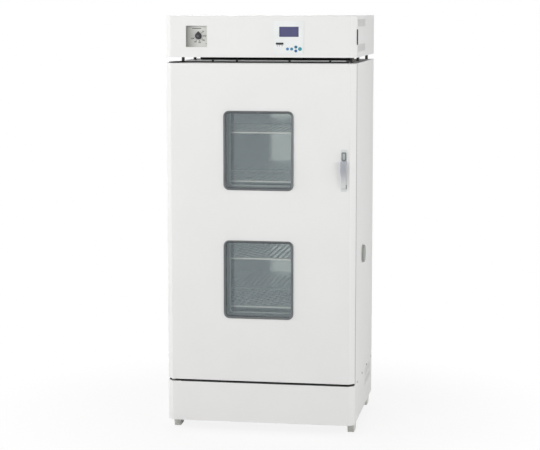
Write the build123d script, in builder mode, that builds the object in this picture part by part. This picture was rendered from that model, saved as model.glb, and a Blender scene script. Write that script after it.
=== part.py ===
from build123d import *
import os

# Tall laboratory drying oven on a plinth, with one insulated door and two windows.
# Millimetres. X points to the right of someone facing the door, Y points away from them, Z up.
# The origin lies on the floor under the middle of the casing.

os.makedirs("parts", exist_ok=True)

# Casing
casing_width = 750
casing_depth = 650
foot_height = 44
plinth_height = 157
under_door_gap = 9
door_height = 1257
over_door_gap = 1
head_gap = 22
head_height = 160
corner_bevel = 22
sheet = 1.5
cover_wall = 2
flange = 15
tray_flange = 40
edge_round = 2
fit_gap = 0.3
running_gap = 0.05

# Chamber
side_insulation = 72
lower_insulation = 86
upper_insulation = 115
rear_insulation = 52
liner_sheet = 1.5
plenum_height = 60
duct_depth = 40
mouth_flange = 20

# Door
door_pan_depth = 30
door_gap = 14
plug_reach = 44
plug_clearance = 8
plug_radius = 12
gasket_width = 14
gasket_margin = 3

# Windows
window_width = 277
window_height = 310
window_radius = 22
window_offset = -6
lower_window_rise = 408
upper_window_drop = 339.5
lip_cover = 4
lip_proud = 2.5
glass_inset = 6
opening_inset = 9
rear_opening_inset = 12
rubber_depth = 10
glass_front = 2.3
glass_thickness = 5

# Hinges
hinge_inset = 22
hinge_depth = 17
pin_radius = 5
bush_radius = 8
bush_length = 27
bracket_plate = 4
bracket_width = 38
bracket_reach = 10

# Handle and latch
handle_inset = 45
handle_rise = 845
handle_width = 24
handle_length = 164
handle_plate = 2.5
handle_proud = 30
grip_thickness = 7
grip_foot = 10
grip_lower_width = 21
button_width = 18
button_height = 32
button_drop = 27
button_proud = 3.5
well_wall = 1.7
well_depth = 7
latch_arm = 21
latch_pivot_depth = 16
latch_pin_radius = 3
latch_hub_radius = 7
tongue_width = 10
tongue_height = 8
tongue_end_depth = 60
strike_plate = 2

# Shelves
shelf_first = 144
shelf_step = 38.8
shelf_steps = (0, 5, 13, 18)
shelf_lip = 12
shelf_front_gap = 16
shelf_rear_gap = 12

# Circulation fan
fan_radius = 85
fan_height = 34
fan_blades = 20
fan_set_back = 90
shaft_radius = 6
motor_radius = 48
motor_height = 75

# Cable port and exhaust
port_depth = 263
port_rise = 495
port_bore_radius = 20
port_flange_radius = 38
exhaust_radius = 20
exhaust_reach = 25
exhaust_inset = 195
exhaust_drop = 120

# Over-temperature dial
dial_inset = 125
dial_rise = 80.5
dial_width = 84
dial_height = 83
dial_recess = 8
knob_radius = 13
knob_shift = (6.4, 1.5)

# Control panel
panel_inset = 262
panel_rise = 78
panel_width = 116
panel_height = 126
panel_radius = 5
panel_lip = 4
panel_proud = 1.5
panel_depth = 6
screen_width = 76
screen_height = 39
screen_rise = 21
key_radius = 5.5
enter_radius = 7
key_row_drop = 45
key_pitch = 16.2
key_split = 7.5
key_proud = 1.2
key_travel = 1

# Derived places
half_width = casing_width / 2
front_y = -casing_depth / 2
rear_y = casing_depth / 2
door_back_y = front_y + door_pan_depth
body_front_y = door_back_y + door_gap
plinth_top = foot_height + plinth_height
deck_top = plinth_top + sheet
door_bottom = plinth_top + under_door_gap
door_top = door_bottom + door_height
cabinet_top = door_top + over_door_gap
head_bottom = cabinet_top + head_gap
head_top = head_bottom + head_height
chamber_bottom = deck_top + lower_insulation + liner_sheet
chamber_top = cabinet_top - sheet - upper_insulation - liner_sheet
chamber_rear_y = rear_y - sheet - rear_insulation - liner_sheet
chamber_half = half_width - sheet - side_insulation - liner_sheet
shelf_floor = chamber_bottom + plenum_height
duct_y = chamber_rear_y - duct_depth
liner_front_y = body_front_y + mouth_flange
plug_back_y = body_front_y + plug_reach
plug_half = chamber_half - plug_clearance
plug_bottom = chamber_bottom + plug_clearance
plug_top = chamber_top - plug_clearance
hinge_x = -half_width + hinge_inset
hinge_y = front_y + hinge_depth
handle_x = half_width - handle_inset
handle_z = door_bottom + handle_rise
button_z = handle_z + handle_length / 2 - button_drop
latch_z = button_z - latch_arm
latch_y = front_y + latch_pivot_depth
window_places = [
    (window_offset, door_bottom + lower_window_rise),
    (window_offset, door_top - upper_window_drop),
]
port_place = (front_y + port_depth, plinth_top + port_rise)
exhaust_place = (exhaust_inset - half_width, chamber_top - exhaust_drop)
fan_y = duct_y - fan_set_back


def front_plane(y):
    # plane facing the front at y; its local axes are X and Z, and extrusions go forwards
    return Plane.XZ.offset(-y)


def side_plane(x):
    # plane facing right at x; its local axes are Y and Z
    return Plane.YZ.offset(x)


def area(across, up, radius=0, mode=Mode.ADD):
    # rectangle between two pairs of limits, with rounded corners where a radius is given
    with Locations(((across[0] + across[1]) / 2, (up[0] + up[1]) / 2)):
        if radius:
            RectangleRounded(across[1] - across[0], up[1] - up[0], radius, mode=mode)
        else:
            Rectangle(across[1] - across[0], up[1] - up[0], mode=mode)


def block(x, y, z, mode=Mode.ADD):
    # block between three pairs of limits
    with BuildSketch(Plane.XY.offset(z[0])) as plan:
        area(x, y)
    extrude(plan.sketch, amount=z[1] - z[0], mode=mode)


def casing_plan(inset, rear):
    # plan of the casing inside its outer face, with bevelled front corners and a square back
    half = half_width - inset
    front = front_y + inset
    bevel = corner_bevel - (2 - 2**0.5) * inset
    with BuildLine() as outline:
        Polyline(
            (-half, rear),
            (-half, front + bevel),
            (bevel - half, front),
            (half - bevel, front),
            (half, front + bevel),
            (half, rear),
            close=True,
        )
    make_face(outline.edges())


def window_shapes(inset):
    # both window outlines, drawn inside the rubber lip's outer edge by the inset
    with Locations(*window_places):
        RectangleRounded(
            window_width - 2 * inset, window_height - 2 * inset, window_radius - inset
        )


def keep(piece, name):
    piece.part.label = name
    export_step(piece.part, f"parts/{name}.step")


# Feet and base
foot_size = (30, 68)
foot_inset = (6.5, 80)
rear_foot_inset = 25
foot_x = half_width - foot_inset[0] - foot_size[0] / 2
foot_ys = (
    front_y + foot_inset[1] + foot_size[1] / 2,
    rear_y - rear_foot_inset - foot_size[1] / 2,
)
foot_places = [(side * foot_x, y) for side in (-1, 1) for y in foot_ys]
foot_bolt_radius = 5
foot_radius = 4
foot_taper = 3

with BuildPart() as feet:
    with BuildSketch(Plane.XY.offset(foot_height)):
        with Locations(*foot_places):
            RectangleRounded(*foot_size, foot_radius)
    extrude(amount=-foot_height, taper=foot_taper)
keep(feet, "feet")

with BuildPart() as base_tray:
    with BuildSketch(Plane.XY.offset(foot_height)):
        casing_plan(cover_wall + fit_gap, rear_y - sheet - fit_gap)
    extrude(amount=tray_flange)
    with BuildSketch(Plane.XY.offset(foot_height + cover_wall)):
        casing_plan(2 * cover_wall + fit_gap, rear_y - sheet - fit_gap - cover_wall)
    extrude(amount=tray_flange, mode=Mode.SUBTRACT)
    with BuildSketch(Plane.XY.offset(foot_height)):
        with Locations(*foot_places):
            Circle(foot_bolt_radius + fit_gap)
    extrude(amount=cover_wall, mode=Mode.SUBTRACT)
keep(base_tray, "base_tray")

with BuildPart() as plinth_cover:
    with BuildSketch(Plane.XY.offset(foot_height)):
        casing_plan(0, body_front_y)
    extrude(amount=plinth_height)
    top_rim = plinth_cover.edges().group_by(Axis.Z)[-1]
    fillet(top_rim.filter_by(lambda edge: edge.center().Y < body_front_y - edge_round), edge_round)
    with BuildSketch(Plane.XY.offset(foot_height)):
        casing_plan(cover_wall, body_front_y)
    extrude(amount=plinth_height - cover_wall, mode=Mode.SUBTRACT)
keep(plinth_cover, "plinth_cover")

with BuildPart() as base_deck:
    deck_x = half_width - sheet - fit_gap
    deck_y = (body_front_y + flange, rear_y - sheet - fit_gap)
    block((-deck_x, deck_x), deck_y, (plinth_top, deck_top))
    for side in (-1, 1):
        edge = sorted((side * deck_x, side * (deck_x - sheet)))
        block(edge, deck_y, (plinth_top - flange, plinth_top))
    with BuildSketch(Plane.XY.offset(plinth_top)):
        with Locations((0, fan_y)):
            Circle(2 * shaft_radius)
    extrude(amount=sheet, mode=Mode.SUBTRACT)
keep(base_deck, "base_deck")

# Side panels, with two rows of ventilation slots low on the right and the hole of the cable port
louvre_count = 18
louvre_pitch = 12
louvre_width = 4
louvre_height = 28
louvre_rear_inset = 164
louvre_rises = (-22.5, -63.5)
port_tube_radius = port_bore_radius + 3
port_hole_radius = port_tube_radius + fit_gap

for side, panel_name in ((-1, "side_panel_left"), (1, "side_panel_right")):
    with BuildPart() as side_panel:
        wall = sorted((side * half_width, side * (half_width - sheet)))
        block(wall, (body_front_y, rear_y), (foot_height, cabinet_top))
        if side > 0:
            with BuildSketch(side_plane(half_width - sheet)):
                with Locations(port_place):
                    Circle(port_hole_radius)
                for rise in louvre_rises:
                    with Locations((rear_y - louvre_rear_inset, plinth_top + rise)):
                        with GridLocations(louvre_pitch, 1, louvre_count, 1):
                            Rectangle(louvre_width, louvre_height)
            extrude(amount=sheet, mode=Mode.SUBTRACT)
    keep(side_panel, panel_name)

with BuildPart() as top_panel:
    roof_x = half_width - sheet - fit_gap
    block((-roof_x, roof_x), (body_front_y, rear_y), (cabinet_top - sheet, cabinet_top))
    for side in (-1, 1):
        edge = sorted((side * roof_x, side * (roof_x - sheet)))
        block(
            edge,
            (body_front_y + flange + 2 * fit_gap, rear_y - flange - 2 * fit_gap),
            (cabinet_top - flange, cabinet_top - sheet),
        )
keep(top_panel, "top_panel")

with BuildPart() as rear_panel:
    with BuildSketch(front_plane(rear_y)):
        area((-roof_x, roof_x), (foot_height, cabinet_top - sheet))
    extrude(amount=sheet)
    for side in (-1, 1):
        edge = sorted((side * roof_x, side * (roof_x - sheet)))
        block(edge, (rear_y - flange, rear_y - sheet), (deck_top + fit_gap, cabinet_top - sheet))
    with BuildSketch(front_plane(rear_y)):
        with Locations(exhaust_place):
            Circle(exhaust_radius + fit_gap)
    extrude(amount=sheet, mode=Mode.SUBTRACT)
keep(rear_panel, "rear_panel")

# Front frame around the mouth of the chamber, with the slot for the latch
frame_x = half_width - sheet - fit_gap
strike_reach = 16
strike_gasket_gap = 2
plate_radius = 4
seal_inner = chamber_half + gasket_margin
strike_x = (seal_inner + gasket_width + strike_gasket_gap, handle_x + strike_reach)
strike_slot_half = 8
strike_slot_drop = 15
latch_lift_gap = 0.4
nose_top = latch_z + tongue_height / 2
slot_limits = (nose_top - tongue_height - strike_slot_drop / 2, nose_top + latch_lift_gap)

with BuildPart() as front_frame:
    with BuildSketch(front_plane(body_front_y + flange)):
        area((-frame_x, frame_x), (plinth_top, cabinet_top - sheet))
    extrude(amount=flange)
    with BuildSketch(front_plane(body_front_y + flange)):
        area(
            (-frame_x + sheet, frame_x - sheet),
            (deck_top, cabinet_top - 2 * sheet),
        )
    extrude(amount=flange - sheet, mode=Mode.SUBTRACT)
    with BuildSketch(front_plane(liner_front_y)):
        area(
            (-chamber_half - sheet, chamber_half + sheet),
            (chamber_bottom - sheet, chamber_top + sheet),
        )
    extrude(amount=mouth_flange)
    with BuildSketch(front_plane(liner_front_y)):
        area((-chamber_half, chamber_half), (chamber_bottom, chamber_top))
        area(
            (handle_x - strike_slot_half - strike_plate, handle_x + strike_slot_half + strike_plate),
            (slot_limits[0] - strike_plate, slot_limits[1] + 2 * strike_plate),
        )
    extrude(amount=mouth_flange, mode=Mode.SUBTRACT)
keep(front_frame, "front_frame")

with BuildPart() as strike:
    with BuildSketch(front_plane(body_front_y)):
        area(
            strike_x,
            (slot_limits[0] - strike_reach, slot_limits[1] + strike_reach),
            plate_radius,
        )
        with Locations((handle_x, (slot_limits[0] + slot_limits[1]) / 2)):
            Rectangle(2 * strike_slot_half, slot_limits[1] - slot_limits[0], mode=Mode.SUBTRACT)
    extrude(amount=strike_plate)
    with BuildSketch(front_plane(body_front_y + 4 * strike_plate)):
        area(
            (handle_x - strike_slot_half, handle_x + strike_slot_half),
            (slot_limits[1], slot_limits[1] + strike_plate),
        )
    extrude(amount=5 * strike_plate)
keep(strike, "strike")

# Stainless chamber, five sheets welded along their edges
weld_gap = 0.1
with BuildPart() as chamber_liner:
    depth = (liner_front_y, chamber_rear_y)
    height = (chamber_bottom - liner_sheet, chamber_top + liner_sheet)
    outer = chamber_half + liner_sheet
    block((-outer, -chamber_half), depth, height)
    block((chamber_half, outer), depth, height)
    between = (-chamber_half + weld_gap, chamber_half - weld_gap)
    block(between, depth, (height[0], chamber_bottom))
    block(between, depth, (chamber_top, height[1]))
    block((-outer, outer), (chamber_rear_y + weld_gap, chamber_rear_y + liner_sheet), height)
    with BuildSketch(side_plane(chamber_half)):
        with Locations(port_place):
            Circle(port_hole_radius)
    extrude(amount=liner_sheet, mode=Mode.SUBTRACT)
    with BuildSketch(front_plane(chamber_rear_y + liner_sheet)):
        with Locations(exhaust_place):
            Circle(exhaust_radius + fit_gap)
    extrude(amount=liner_sheet, mode=Mode.SUBTRACT)
    with BuildSketch(Plane.XY.offset(chamber_bottom - liner_sheet)):
        with Locations((0, fan_y)):
            Circle(2 * shaft_radius)
    extrude(amount=liner_sheet, mode=Mode.SUBTRACT)
keep(chamber_liner, "chamber_liner")

# Glass wool between the chamber and the casing: two sides, top, bottom and back
wool_x = half_width - 2 * sheet - 2 * fit_gap
wool_front_y = liner_front_y + fit_gap
wool_rear_y = rear_y - sheet - fit_gap
wool_top = cabinet_top - sheet - fit_gap
wool_bottom = deck_top + fit_gap
liner_x = chamber_half + liner_sheet + fit_gap
liner_low = chamber_bottom - liner_sheet - fit_gap
liner_high = chamber_top + liner_sheet + fit_gap
liner_back_y = chamber_rear_y + liner_sheet + fit_gap
with BuildPart() as insulation:
    for side in (-1, 1):
        wall = sorted((side * liner_x, side * wool_x))
        block(wall, (wool_front_y, liner_back_y - fit_gap), (wool_bottom, wool_top))
    middle = (fit_gap - liner_x, liner_x - fit_gap)
    block(middle, (wool_front_y, liner_back_y - fit_gap), (liner_high, wool_top))
    block(middle, (wool_front_y, liner_back_y - fit_gap), (wool_bottom, liner_low))
    block((-wool_x, wool_x), (liner_back_y, wool_rear_y), (wool_bottom, wool_top))
    with BuildSketch(side_plane(chamber_half)):
        with Locations(port_place):
            Circle(port_hole_radius)
    extrude(amount=half_width - chamber_half, mode=Mode.SUBTRACT)
    with BuildSketch(front_plane(rear_y)):
        with Locations(exhaust_place):
            Circle(exhaust_radius + fit_gap)
    extrude(amount=rear_y - chamber_rear_y, mode=Mode.SUBTRACT)
    with BuildSketch(Plane.XY.offset(deck_top)):
        with Locations((0, fan_y)):
            Circle(2 * shaft_radius)
    extrude(amount=lower_insulation, mode=Mode.SUBTRACT)
keep(insulation, "insulation")

# Punched false floor over the fan, an upturned tray that is open towards the duct
floor_front_y = plug_back_y + shelf_front_gap / 4
floor_x = chamber_half - 2
floor_slots = (8, 6)
floor_slot_pitch = (24, 22)
floor_slot_size = (16, 6)
with BuildPart() as floor_plate:
    block((-floor_x, floor_x), (floor_front_y, duct_y - fit_gap), (chamber_bottom, shelf_floor))
    block(
        (-floor_x + liner_sheet, floor_x - liner_sheet),
        (floor_front_y + liner_sheet, duct_y),
        (chamber_bottom, shelf_floor - liner_sheet),
        Mode.SUBTRACT,
    )
    with BuildSketch(Plane.XY.offset(shelf_floor - liner_sheet)):
        with Locations((0, fan_y)):
            with GridLocations(*floor_slot_pitch, *floor_slots):
                Rectangle(*floor_slot_size)
    extrude(amount=liner_sheet, mode=Mode.SUBTRACT)
keep(floor_plate, "floor_plate")

# Duct plate in front of the rear wall, plain on the left and punched on the right
duct_x = chamber_half - 1
duct_mouth = (45, 2 * fan_radius)
punch_slots = (5, 20)
punch_inset = 198
punch_pitch = (58, 42)
punch_size = (44, 9)
punch_middle = (duct_x - punch_inset, (shelf_floor + chamber_top) / 2)
with BuildPart() as duct_plate:
    duct_depths = (duct_y, chamber_rear_y)
    block((-duct_x, duct_x), duct_depths, (chamber_bottom, chamber_top - fit_gap))
    block(
        (-duct_x + liner_sheet, duct_x - liner_sheet),
        (duct_y + liner_sheet, chamber_rear_y),
        (chamber_bottom, chamber_top - fit_gap),
        Mode.SUBTRACT,
    )
    with BuildSketch(front_plane(duct_y + liner_sheet)):
        with Locations(punch_middle):
            with GridLocations(*punch_pitch, *punch_slots):
                Rectangle(*punch_size)
        area((-duct_mouth[1], duct_mouth[1]), (chamber_bottom, chamber_bottom + duct_mouth[0]))
    extrude(amount=liner_sheet, mode=Mode.SUBTRACT)
keep(duct_plate, "duct_plate")

# Sheathed heating element, one tube bent to and fro in the duct, standing on the liner's floor
heater_radius = 4
heater_bend = 26
heater_side_gap = 60
heater_half = chamber_half - heater_side_gap
heater_step = 90
heater_low = 150
heater_inset = 40
heater_y = (duct_y + liner_sheet + chamber_rear_y) / 2
with BuildPart() as heating_element:
    heights = (chamber_bottom + heater_low + heater_step, chamber_bottom + heater_low)
    with BuildLine(front_plane(heater_y)) as heater_route:
        FilletPolyline(
            (-heater_half, chamber_bottom),
            (-heater_half, heights[0]),
            (heater_half, heights[0]),
            (heater_half, heights[1]),
            (heater_inset - heater_half, heights[1]),
            (heater_inset - heater_half, chamber_bottom),
            radius=heater_bend,
        )
    with BuildSketch(Plane.XY.offset(chamber_bottom)):
        with Locations((-heater_half, heater_y)):
            Circle(heater_radius)
    sweep(path=heater_route.wires()[0])
keep(heating_element, "heating_element")

# Fan under the false floor, turned by a motor that hangs under the deck
wheel_floor_gap = 8
wheel_sheet = 1.5
blade_length = 20
blade_angle = 35
hub_radius = 14
hub_height = 22
wheel_bottom = chamber_bottom + wheel_floor_gap
wheel_place = Plane((0, fan_y, wheel_bottom))
motor_flange = (12, 4)
motor_bearing = 40
shaft_bottom = plinth_top - motor_bearing + 1
with BuildPart() as fan_wheel:
    with BuildSketch(wheel_place):
        Circle(fan_radius)
    extrude(amount=wheel_sheet)
    with BuildSketch(wheel_place):
        Circle(hub_radius)
    extrude(amount=hub_height)
    with BuildSketch(wheel_place.offset(wheel_sheet)):
        with PolarLocations(fan_radius - blade_length / 2, fan_blades):
            Rectangle(blade_length, wheel_sheet, rotation=blade_angle)
        Circle(fan_radius, mode=Mode.INTERSECT)
    extrude(amount=fan_height - 2 * wheel_sheet)
    with BuildSketch(wheel_place.offset(fan_height - wheel_sheet)):
        Circle(fan_radius)
        Circle(fan_radius - blade_length, mode=Mode.SUBTRACT)
    extrude(amount=wheel_sheet)
    with BuildSketch(Plane((0, fan_y, shaft_bottom))):
        Circle(shaft_radius)
    extrude(amount=wheel_bottom + hub_height - shaft_bottom)
keep(fan_wheel, "fan_wheel")

with BuildPart() as fan_motor:
    with BuildSketch(Plane((0, fan_y, plinth_top))):
        Circle(motor_radius + motor_flange[0])
    extrude(amount=-motor_flange[1])
    with BuildSketch(Plane((0, fan_y, plinth_top))):
        Circle(motor_radius)
    extrude(amount=-motor_height)
    chamfer(fan_motor.edges().group_by(Axis.Z)[0], motor_flange[1])
    with BuildSketch(Plane((0, fan_y, plinth_top))):
        Circle(shaft_radius + running_gap)
    extrude(amount=-motor_bearing, mode=Mode.SUBTRACT)
keep(fan_motor, "fan_motor")

# Slotted standards on both side walls and the rails that hook into them
standard_width = 20
standard_depth = 8
standard_margin = 16
standard_slot = (4, 12)
standard_set_in = 55
rail_sheet = 1.5
rail_leg = 16
rail_ledge = 15
shelf_front_y = plug_back_y + shelf_front_gap
shelf_rear_y = duct_y - shelf_rear_gap
standard_ys = (shelf_front_y + standard_set_in, shelf_rear_y - standard_set_in)
shelf_heights = [shelf_floor + shelf_first + count * shelf_step for count in shelf_steps]
standard_low = shelf_floor + standard_margin
standard_high = chamber_top - standard_margin
slot_count = int((standard_high - standard_low) / shelf_step)
slot_first = shelf_heights[0] - int((shelf_heights[0] - standard_low) / shelf_step) * shelf_step
with BuildPart() as shelf_standards:
    for side in (-1, 1):
        for y in standard_ys:
            wide = (y - standard_width / 2, y + standard_width / 2)
            tall = (standard_low, standard_high)
            deep = sorted((side * chamber_half, side * (chamber_half - standard_depth)))
            block(deep, wide, tall)
            hollow = sorted((side * chamber_half, side * (chamber_half - standard_depth + rail_sheet)))
            block(hollow, (wide[0] + rail_sheet, wide[1] - rail_sheet), tall, Mode.SUBTRACT)
    with BuildSketch(side_plane(-chamber_half)):
        for count in range(slot_count):
            with Locations(*[(y, slot_first + count * shelf_step - rail_leg / 2) for y in standard_ys]):
                Rectangle(*standard_slot)
    extrude(amount=2 * chamber_half, mode=Mode.SUBTRACT)
keep(shelf_standards, "shelf_standards")

rail_face = chamber_half - standard_depth
with BuildPart() as shelf_rails:
    for z in shelf_heights:
        for side in (-1, 1):
            with BuildSketch(front_plane(shelf_rear_y - shelf_lip)):
                leg = sorted((side * rail_face, side * (rail_face - rail_sheet)))
                area(leg, (z - fit_gap - rail_leg, z - fit_gap))
                ledge = sorted((side * rail_face, side * (rail_face - rail_ledge)))
                area(ledge, (z - fit_gap - rail_sheet, z - fit_gap))
            extrude(amount=shelf_rear_y - shelf_front_y - 2 * shelf_lip)
keep(shelf_rails, "shelf_rails")

# Four punched shelves with the front and rear edges turned down
shelf_half = rail_face - rail_sheet - 2
lip_half = rail_face - rail_ledge - 4
shelf_slot_margin = 20
shelf_slot_pitch = (23, 130)
shelf_slot_size = (12, 112)
shelf_slots = (
    int((2 * shelf_half - 2 * shelf_slot_margin) / shelf_slot_pitch[0]),
    int((shelf_rear_y - shelf_front_y - 2 * shelf_slot_margin) / shelf_slot_pitch[1]),
)
shelf_middle_y = (shelf_front_y + shelf_rear_y) / 2
for number, z in enumerate(shelf_heights, start=1):
    with BuildPart() as shelf:
        block((-shelf_half, shelf_half), (shelf_front_y, shelf_rear_y), (z, z + liner_sheet))
        for lip_y in (shelf_front_y, shelf_rear_y - liner_sheet):
            block((-lip_half, lip_half), (lip_y, lip_y + liner_sheet), (z - shelf_lip, z))
        with BuildSketch(Plane.XY.offset(z)):
            with Locations((0, shelf_middle_y)):
                with GridLocations(*shelf_slot_pitch, *shelf_slots):
                    Rectangle(*shelf_slot_size)
        extrude(amount=liner_sheet, mode=Mode.SUBTRACT)
    keep(shelf, f"shelf_{number}")

# Cable port through the right wall, closed by a plug that pulls out
port_flange_depth = 2
plug_head_depth = 8
plug_head_radius = 35
with BuildPart() as port_sleeve:
    with BuildSketch(side_plane(chamber_half)):
        with Locations(port_place):
            Circle(port_tube_radius)
    extrude(amount=half_width - chamber_half)
    with BuildSketch(side_plane(half_width)):
        with Locations(port_place):
            Circle(port_flange_radius)
    extrude(amount=port_flange_depth)
    with BuildSketch(side_plane(chamber_half)):
        with Locations(port_place):
            Circle(port_bore_radius)
    extrude(amount=casing_width, mode=Mode.SUBTRACT)
keep(port_sleeve, "port_sleeve")

with BuildPart() as port_plug:
    with BuildSketch(side_plane(chamber_half)):
        with Locations(port_place):
            Circle(port_bore_radius - running_gap)
    extrude(amount=half_width - chamber_half + port_flange_depth + fit_gap)
    with BuildSketch(side_plane(half_width + port_flange_depth + fit_gap)):
        with Locations(port_place):
            Circle(plug_head_radius)
    extrude(amount=plug_head_depth)
    chamfer(port_plug.faces().sort_by(Axis.X)[-1].edges(), edge_round)
keep(port_plug, "port_plug")

with BuildPart() as exhaust_stub:
    with BuildSketch(front_plane(chamber_rear_y + weld_gap)):
        with Locations(exhaust_place):
            Circle(exhaust_radius)
    extrude(amount=chamber_rear_y + weld_gap - rear_y - exhaust_reach)
    with BuildSketch(front_plane(rear_y)):
        with Locations(exhaust_place):
            Circle(exhaust_radius + flange)
    extrude(amount=-port_flange_depth)
    with BuildSketch(front_plane(chamber_rear_y + weld_gap)):
        with Locations(exhaust_place):
            Circle(exhaust_radius - liner_sheet)
    extrude(amount=-casing_depth, mode=Mode.SUBTRACT)
keep(exhaust_stub, "exhaust_stub")

# Hinges: a plate and pin above the door, and a plate, pin and collar below it
bracket_x = (hinge_x - bracket_reach, hinge_x - bracket_reach + bracket_width)
upper_bracket_y = (hinge_y - bracket_reach, body_front_y + bracket_width)
lower_bracket_y = (hinge_y - bracket_reach, body_front_y)
pin_engagement = 24
pin_head = (8, 2)
with BuildPart() as hinge_brackets:
    with BuildSketch(Plane.XY.offset(cabinet_top)):
        area(bracket_x, upper_bracket_y, bracket_reach)
    extrude(amount=bracket_plate)
    with BuildSketch(Plane.XY.offset(plinth_top)):
        area(bracket_x, lower_bracket_y, bracket_reach)
    extrude(amount=bracket_plate)
    with BuildSketch(Plane.XY.offset(plinth_top)):
        with Locations((hinge_x, hinge_y)):
            Circle(pin_radius + running_gap)
    extrude(amount=head_top, mode=Mode.SUBTRACT)
keep(hinge_brackets, "hinge_brackets")

with BuildPart() as hinge_pins:
    with BuildSketch(Plane((hinge_x, hinge_y, door_top - pin_engagement))):
        Circle(pin_radius)
    extrude(amount=pin_engagement + over_door_gap + bracket_plate)
    with BuildSketch(Plane((hinge_x, hinge_y, cabinet_top + bracket_plate))):
        Circle(pin_head[0])
    extrude(amount=pin_head[1])
    with BuildSketch(Plane((hinge_x, hinge_y, plinth_top))):
        Circle(pin_radius)
    extrude(amount=under_door_gap + pin_engagement)
    with BuildSketch(Plane((hinge_x, hinge_y, plinth_top + bracket_plate))):
        Circle(pin_head[0])
    extrude(amount=under_door_gap - bracket_plate - fit_gap)
keep(hinge_pins, "hinge_pins")

with BuildPart() as door_bushes:
    for low in (door_bottom, door_top - bush_length):
        with BuildSketch(Plane((hinge_x, hinge_y, low))):
            Circle(bush_radius)
            Circle(pin_radius + running_gap, mode=Mode.SUBTRACT)
        extrude(amount=bush_length)
keep(door_bushes, "door_bushes")

# Door: a painted pan, a stainless inner pan with the plug, and glass wool between them
well_margin = well_wall + 2 * fit_gap
with BuildPart() as door_outer_pan:
    with BuildSketch(Plane.XY.offset(door_bottom)):
        casing_plan(0, door_back_y)
    extrude(amount=door_height)
    levels = door_outer_pan.edges().group_by(Axis.Z)
    rims = levels[0] + levels[-1]
    fillet(rims.filter_by(lambda edge: edge.center().Y < door_back_y - edge_round), edge_round)
    with BuildSketch(Plane.XY.offset(door_bottom + sheet)):
        casing_plan(sheet, door_back_y)
    extrude(amount=door_height - 2 * sheet, mode=Mode.SUBTRACT)
    with BuildSketch(front_plane(front_y + sheet)):
        window_shapes(lip_cover)
        with Locations((handle_x, button_z)):
            Rectangle(button_width + 2 * well_margin, button_height + 2 * well_margin)
    extrude(amount=sheet, mode=Mode.SUBTRACT)
    with BuildSketch(Plane((hinge_x, hinge_y, door_bottom))):
        Circle(bush_radius + fit_gap)
    extrude(amount=door_height, mode=Mode.SUBTRACT)
keep(door_outer_pan, "door_outer_pan")

land_x = half_width - sheet - fit_gap
land_z = (door_bottom + sheet + fit_gap, door_top - sheet - fit_gap)
tongue_play = (3, 5)
tongue_slot = (
    tongue_width / 2 + tongue_play[0],
    nose_top - tongue_height - tongue_play[1],
    nose_top + tongue_play[0],
)
with BuildPart() as door_inner_pan:
    with BuildSketch(front_plane(door_back_y)):
        area((-land_x, land_x), land_z)
    extrude(amount=sheet)
    with BuildSketch(front_plane(plug_back_y)):
        area((-plug_half, plug_half), (plug_bottom, plug_top), plug_radius)
    extrude(amount=plug_back_y - door_back_y)
    with BuildSketch(front_plane(plug_back_y - sheet)):
        area(
            (sheet - plug_half, plug_half - sheet),
            (plug_bottom + sheet, plug_top - sheet),
            plug_radius - sheet,
        )
    extrude(amount=plug_back_y - door_back_y, mode=Mode.SUBTRACT)
    with BuildSketch(front_plane(plug_back_y)):
        window_shapes(rear_opening_inset)
    extrude(amount=sheet, mode=Mode.SUBTRACT)
    with BuildSketch(front_plane(door_back_y)):
        area((handle_x - tongue_slot[0], handle_x + tongue_slot[0]), tongue_slot[1:])
    extrude(amount=sheet, mode=Mode.SUBTRACT)
keep(door_inner_pan, "door_inner_pan")

wool_slab_y = (front_y + sheet + fit_gap, door_back_y - sheet - fit_gap)
pocket_reach = 20
latch_pocket = (handle_width / 2 + 1, latch_z - pocket_reach, button_z + pocket_reach)
with BuildPart() as door_insulation:
    with BuildSketch(Plane.XY.offset(door_bottom + sheet + fit_gap)):
        casing_plan(sheet + fit_gap, wool_slab_y[1])
    extrude(amount=door_height - 2 * (sheet + fit_gap))
    with BuildSketch(front_plane(plug_back_y - sheet - fit_gap)):
        area(
            (sheet + fit_gap - plug_half, plug_half - sheet - fit_gap),
            (plug_bottom + sheet + fit_gap, plug_top - sheet - fit_gap),
            plug_radius - sheet - fit_gap,
        )
    extrude(amount=plug_back_y - door_back_y)
    with BuildSketch(front_plane(plug_back_y)):
        window_shapes(lip_cover - 2 * fit_gap)
        area((handle_x - latch_pocket[0], handle_x + latch_pocket[0]), latch_pocket[1:])
    extrude(amount=plug_back_y - front_y, mode=Mode.SUBTRACT)
    with BuildSketch(Plane.XY.offset(door_bottom)):
        area((-half_width, hinge_x + bush_radius + 1), (front_y, door_back_y))
    extrude(amount=bush_length + 1, mode=Mode.SUBTRACT)
    with BuildSketch(Plane.XY.offset(door_top - bush_length - 1)):
        area((-half_width, hinge_x + bush_radius + 1), (front_y, door_back_y))
    extrude(amount=bush_length + 1, mode=Mode.SUBTRACT)
keep(door_insulation, "door_insulation")

# Windows: a rubber frame, an outer pane, a stainless tunnel through the door and an inner pane
rabbet_y = front_y + glass_front - fit_gap
tunnel_front_y = front_y + glass_front + glass_thickness + fit_gap
tunnel_back_y = plug_back_y - sheet
with BuildPart() as window_frames:
    with BuildSketch(front_plane(front_y)):
        window_shapes(0)
    extrude(amount=lip_proud, taper=15)
    with BuildSketch(front_plane(front_y + rubber_depth)):
        window_shapes(lip_cover + fit_gap)
    extrude(amount=rubber_depth)
    with BuildSketch(front_plane(front_y + rubber_depth)):
        window_shapes(glass_inset - fit_gap)
    extrude(amount=rubber_depth - glass_front + fit_gap, mode=Mode.SUBTRACT)
    with BuildSketch(front_plane(rabbet_y)):
        window_shapes(opening_inset)
    extrude(amount=rubber_depth, mode=Mode.SUBTRACT)
keep(window_frames, "window_frames")

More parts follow.
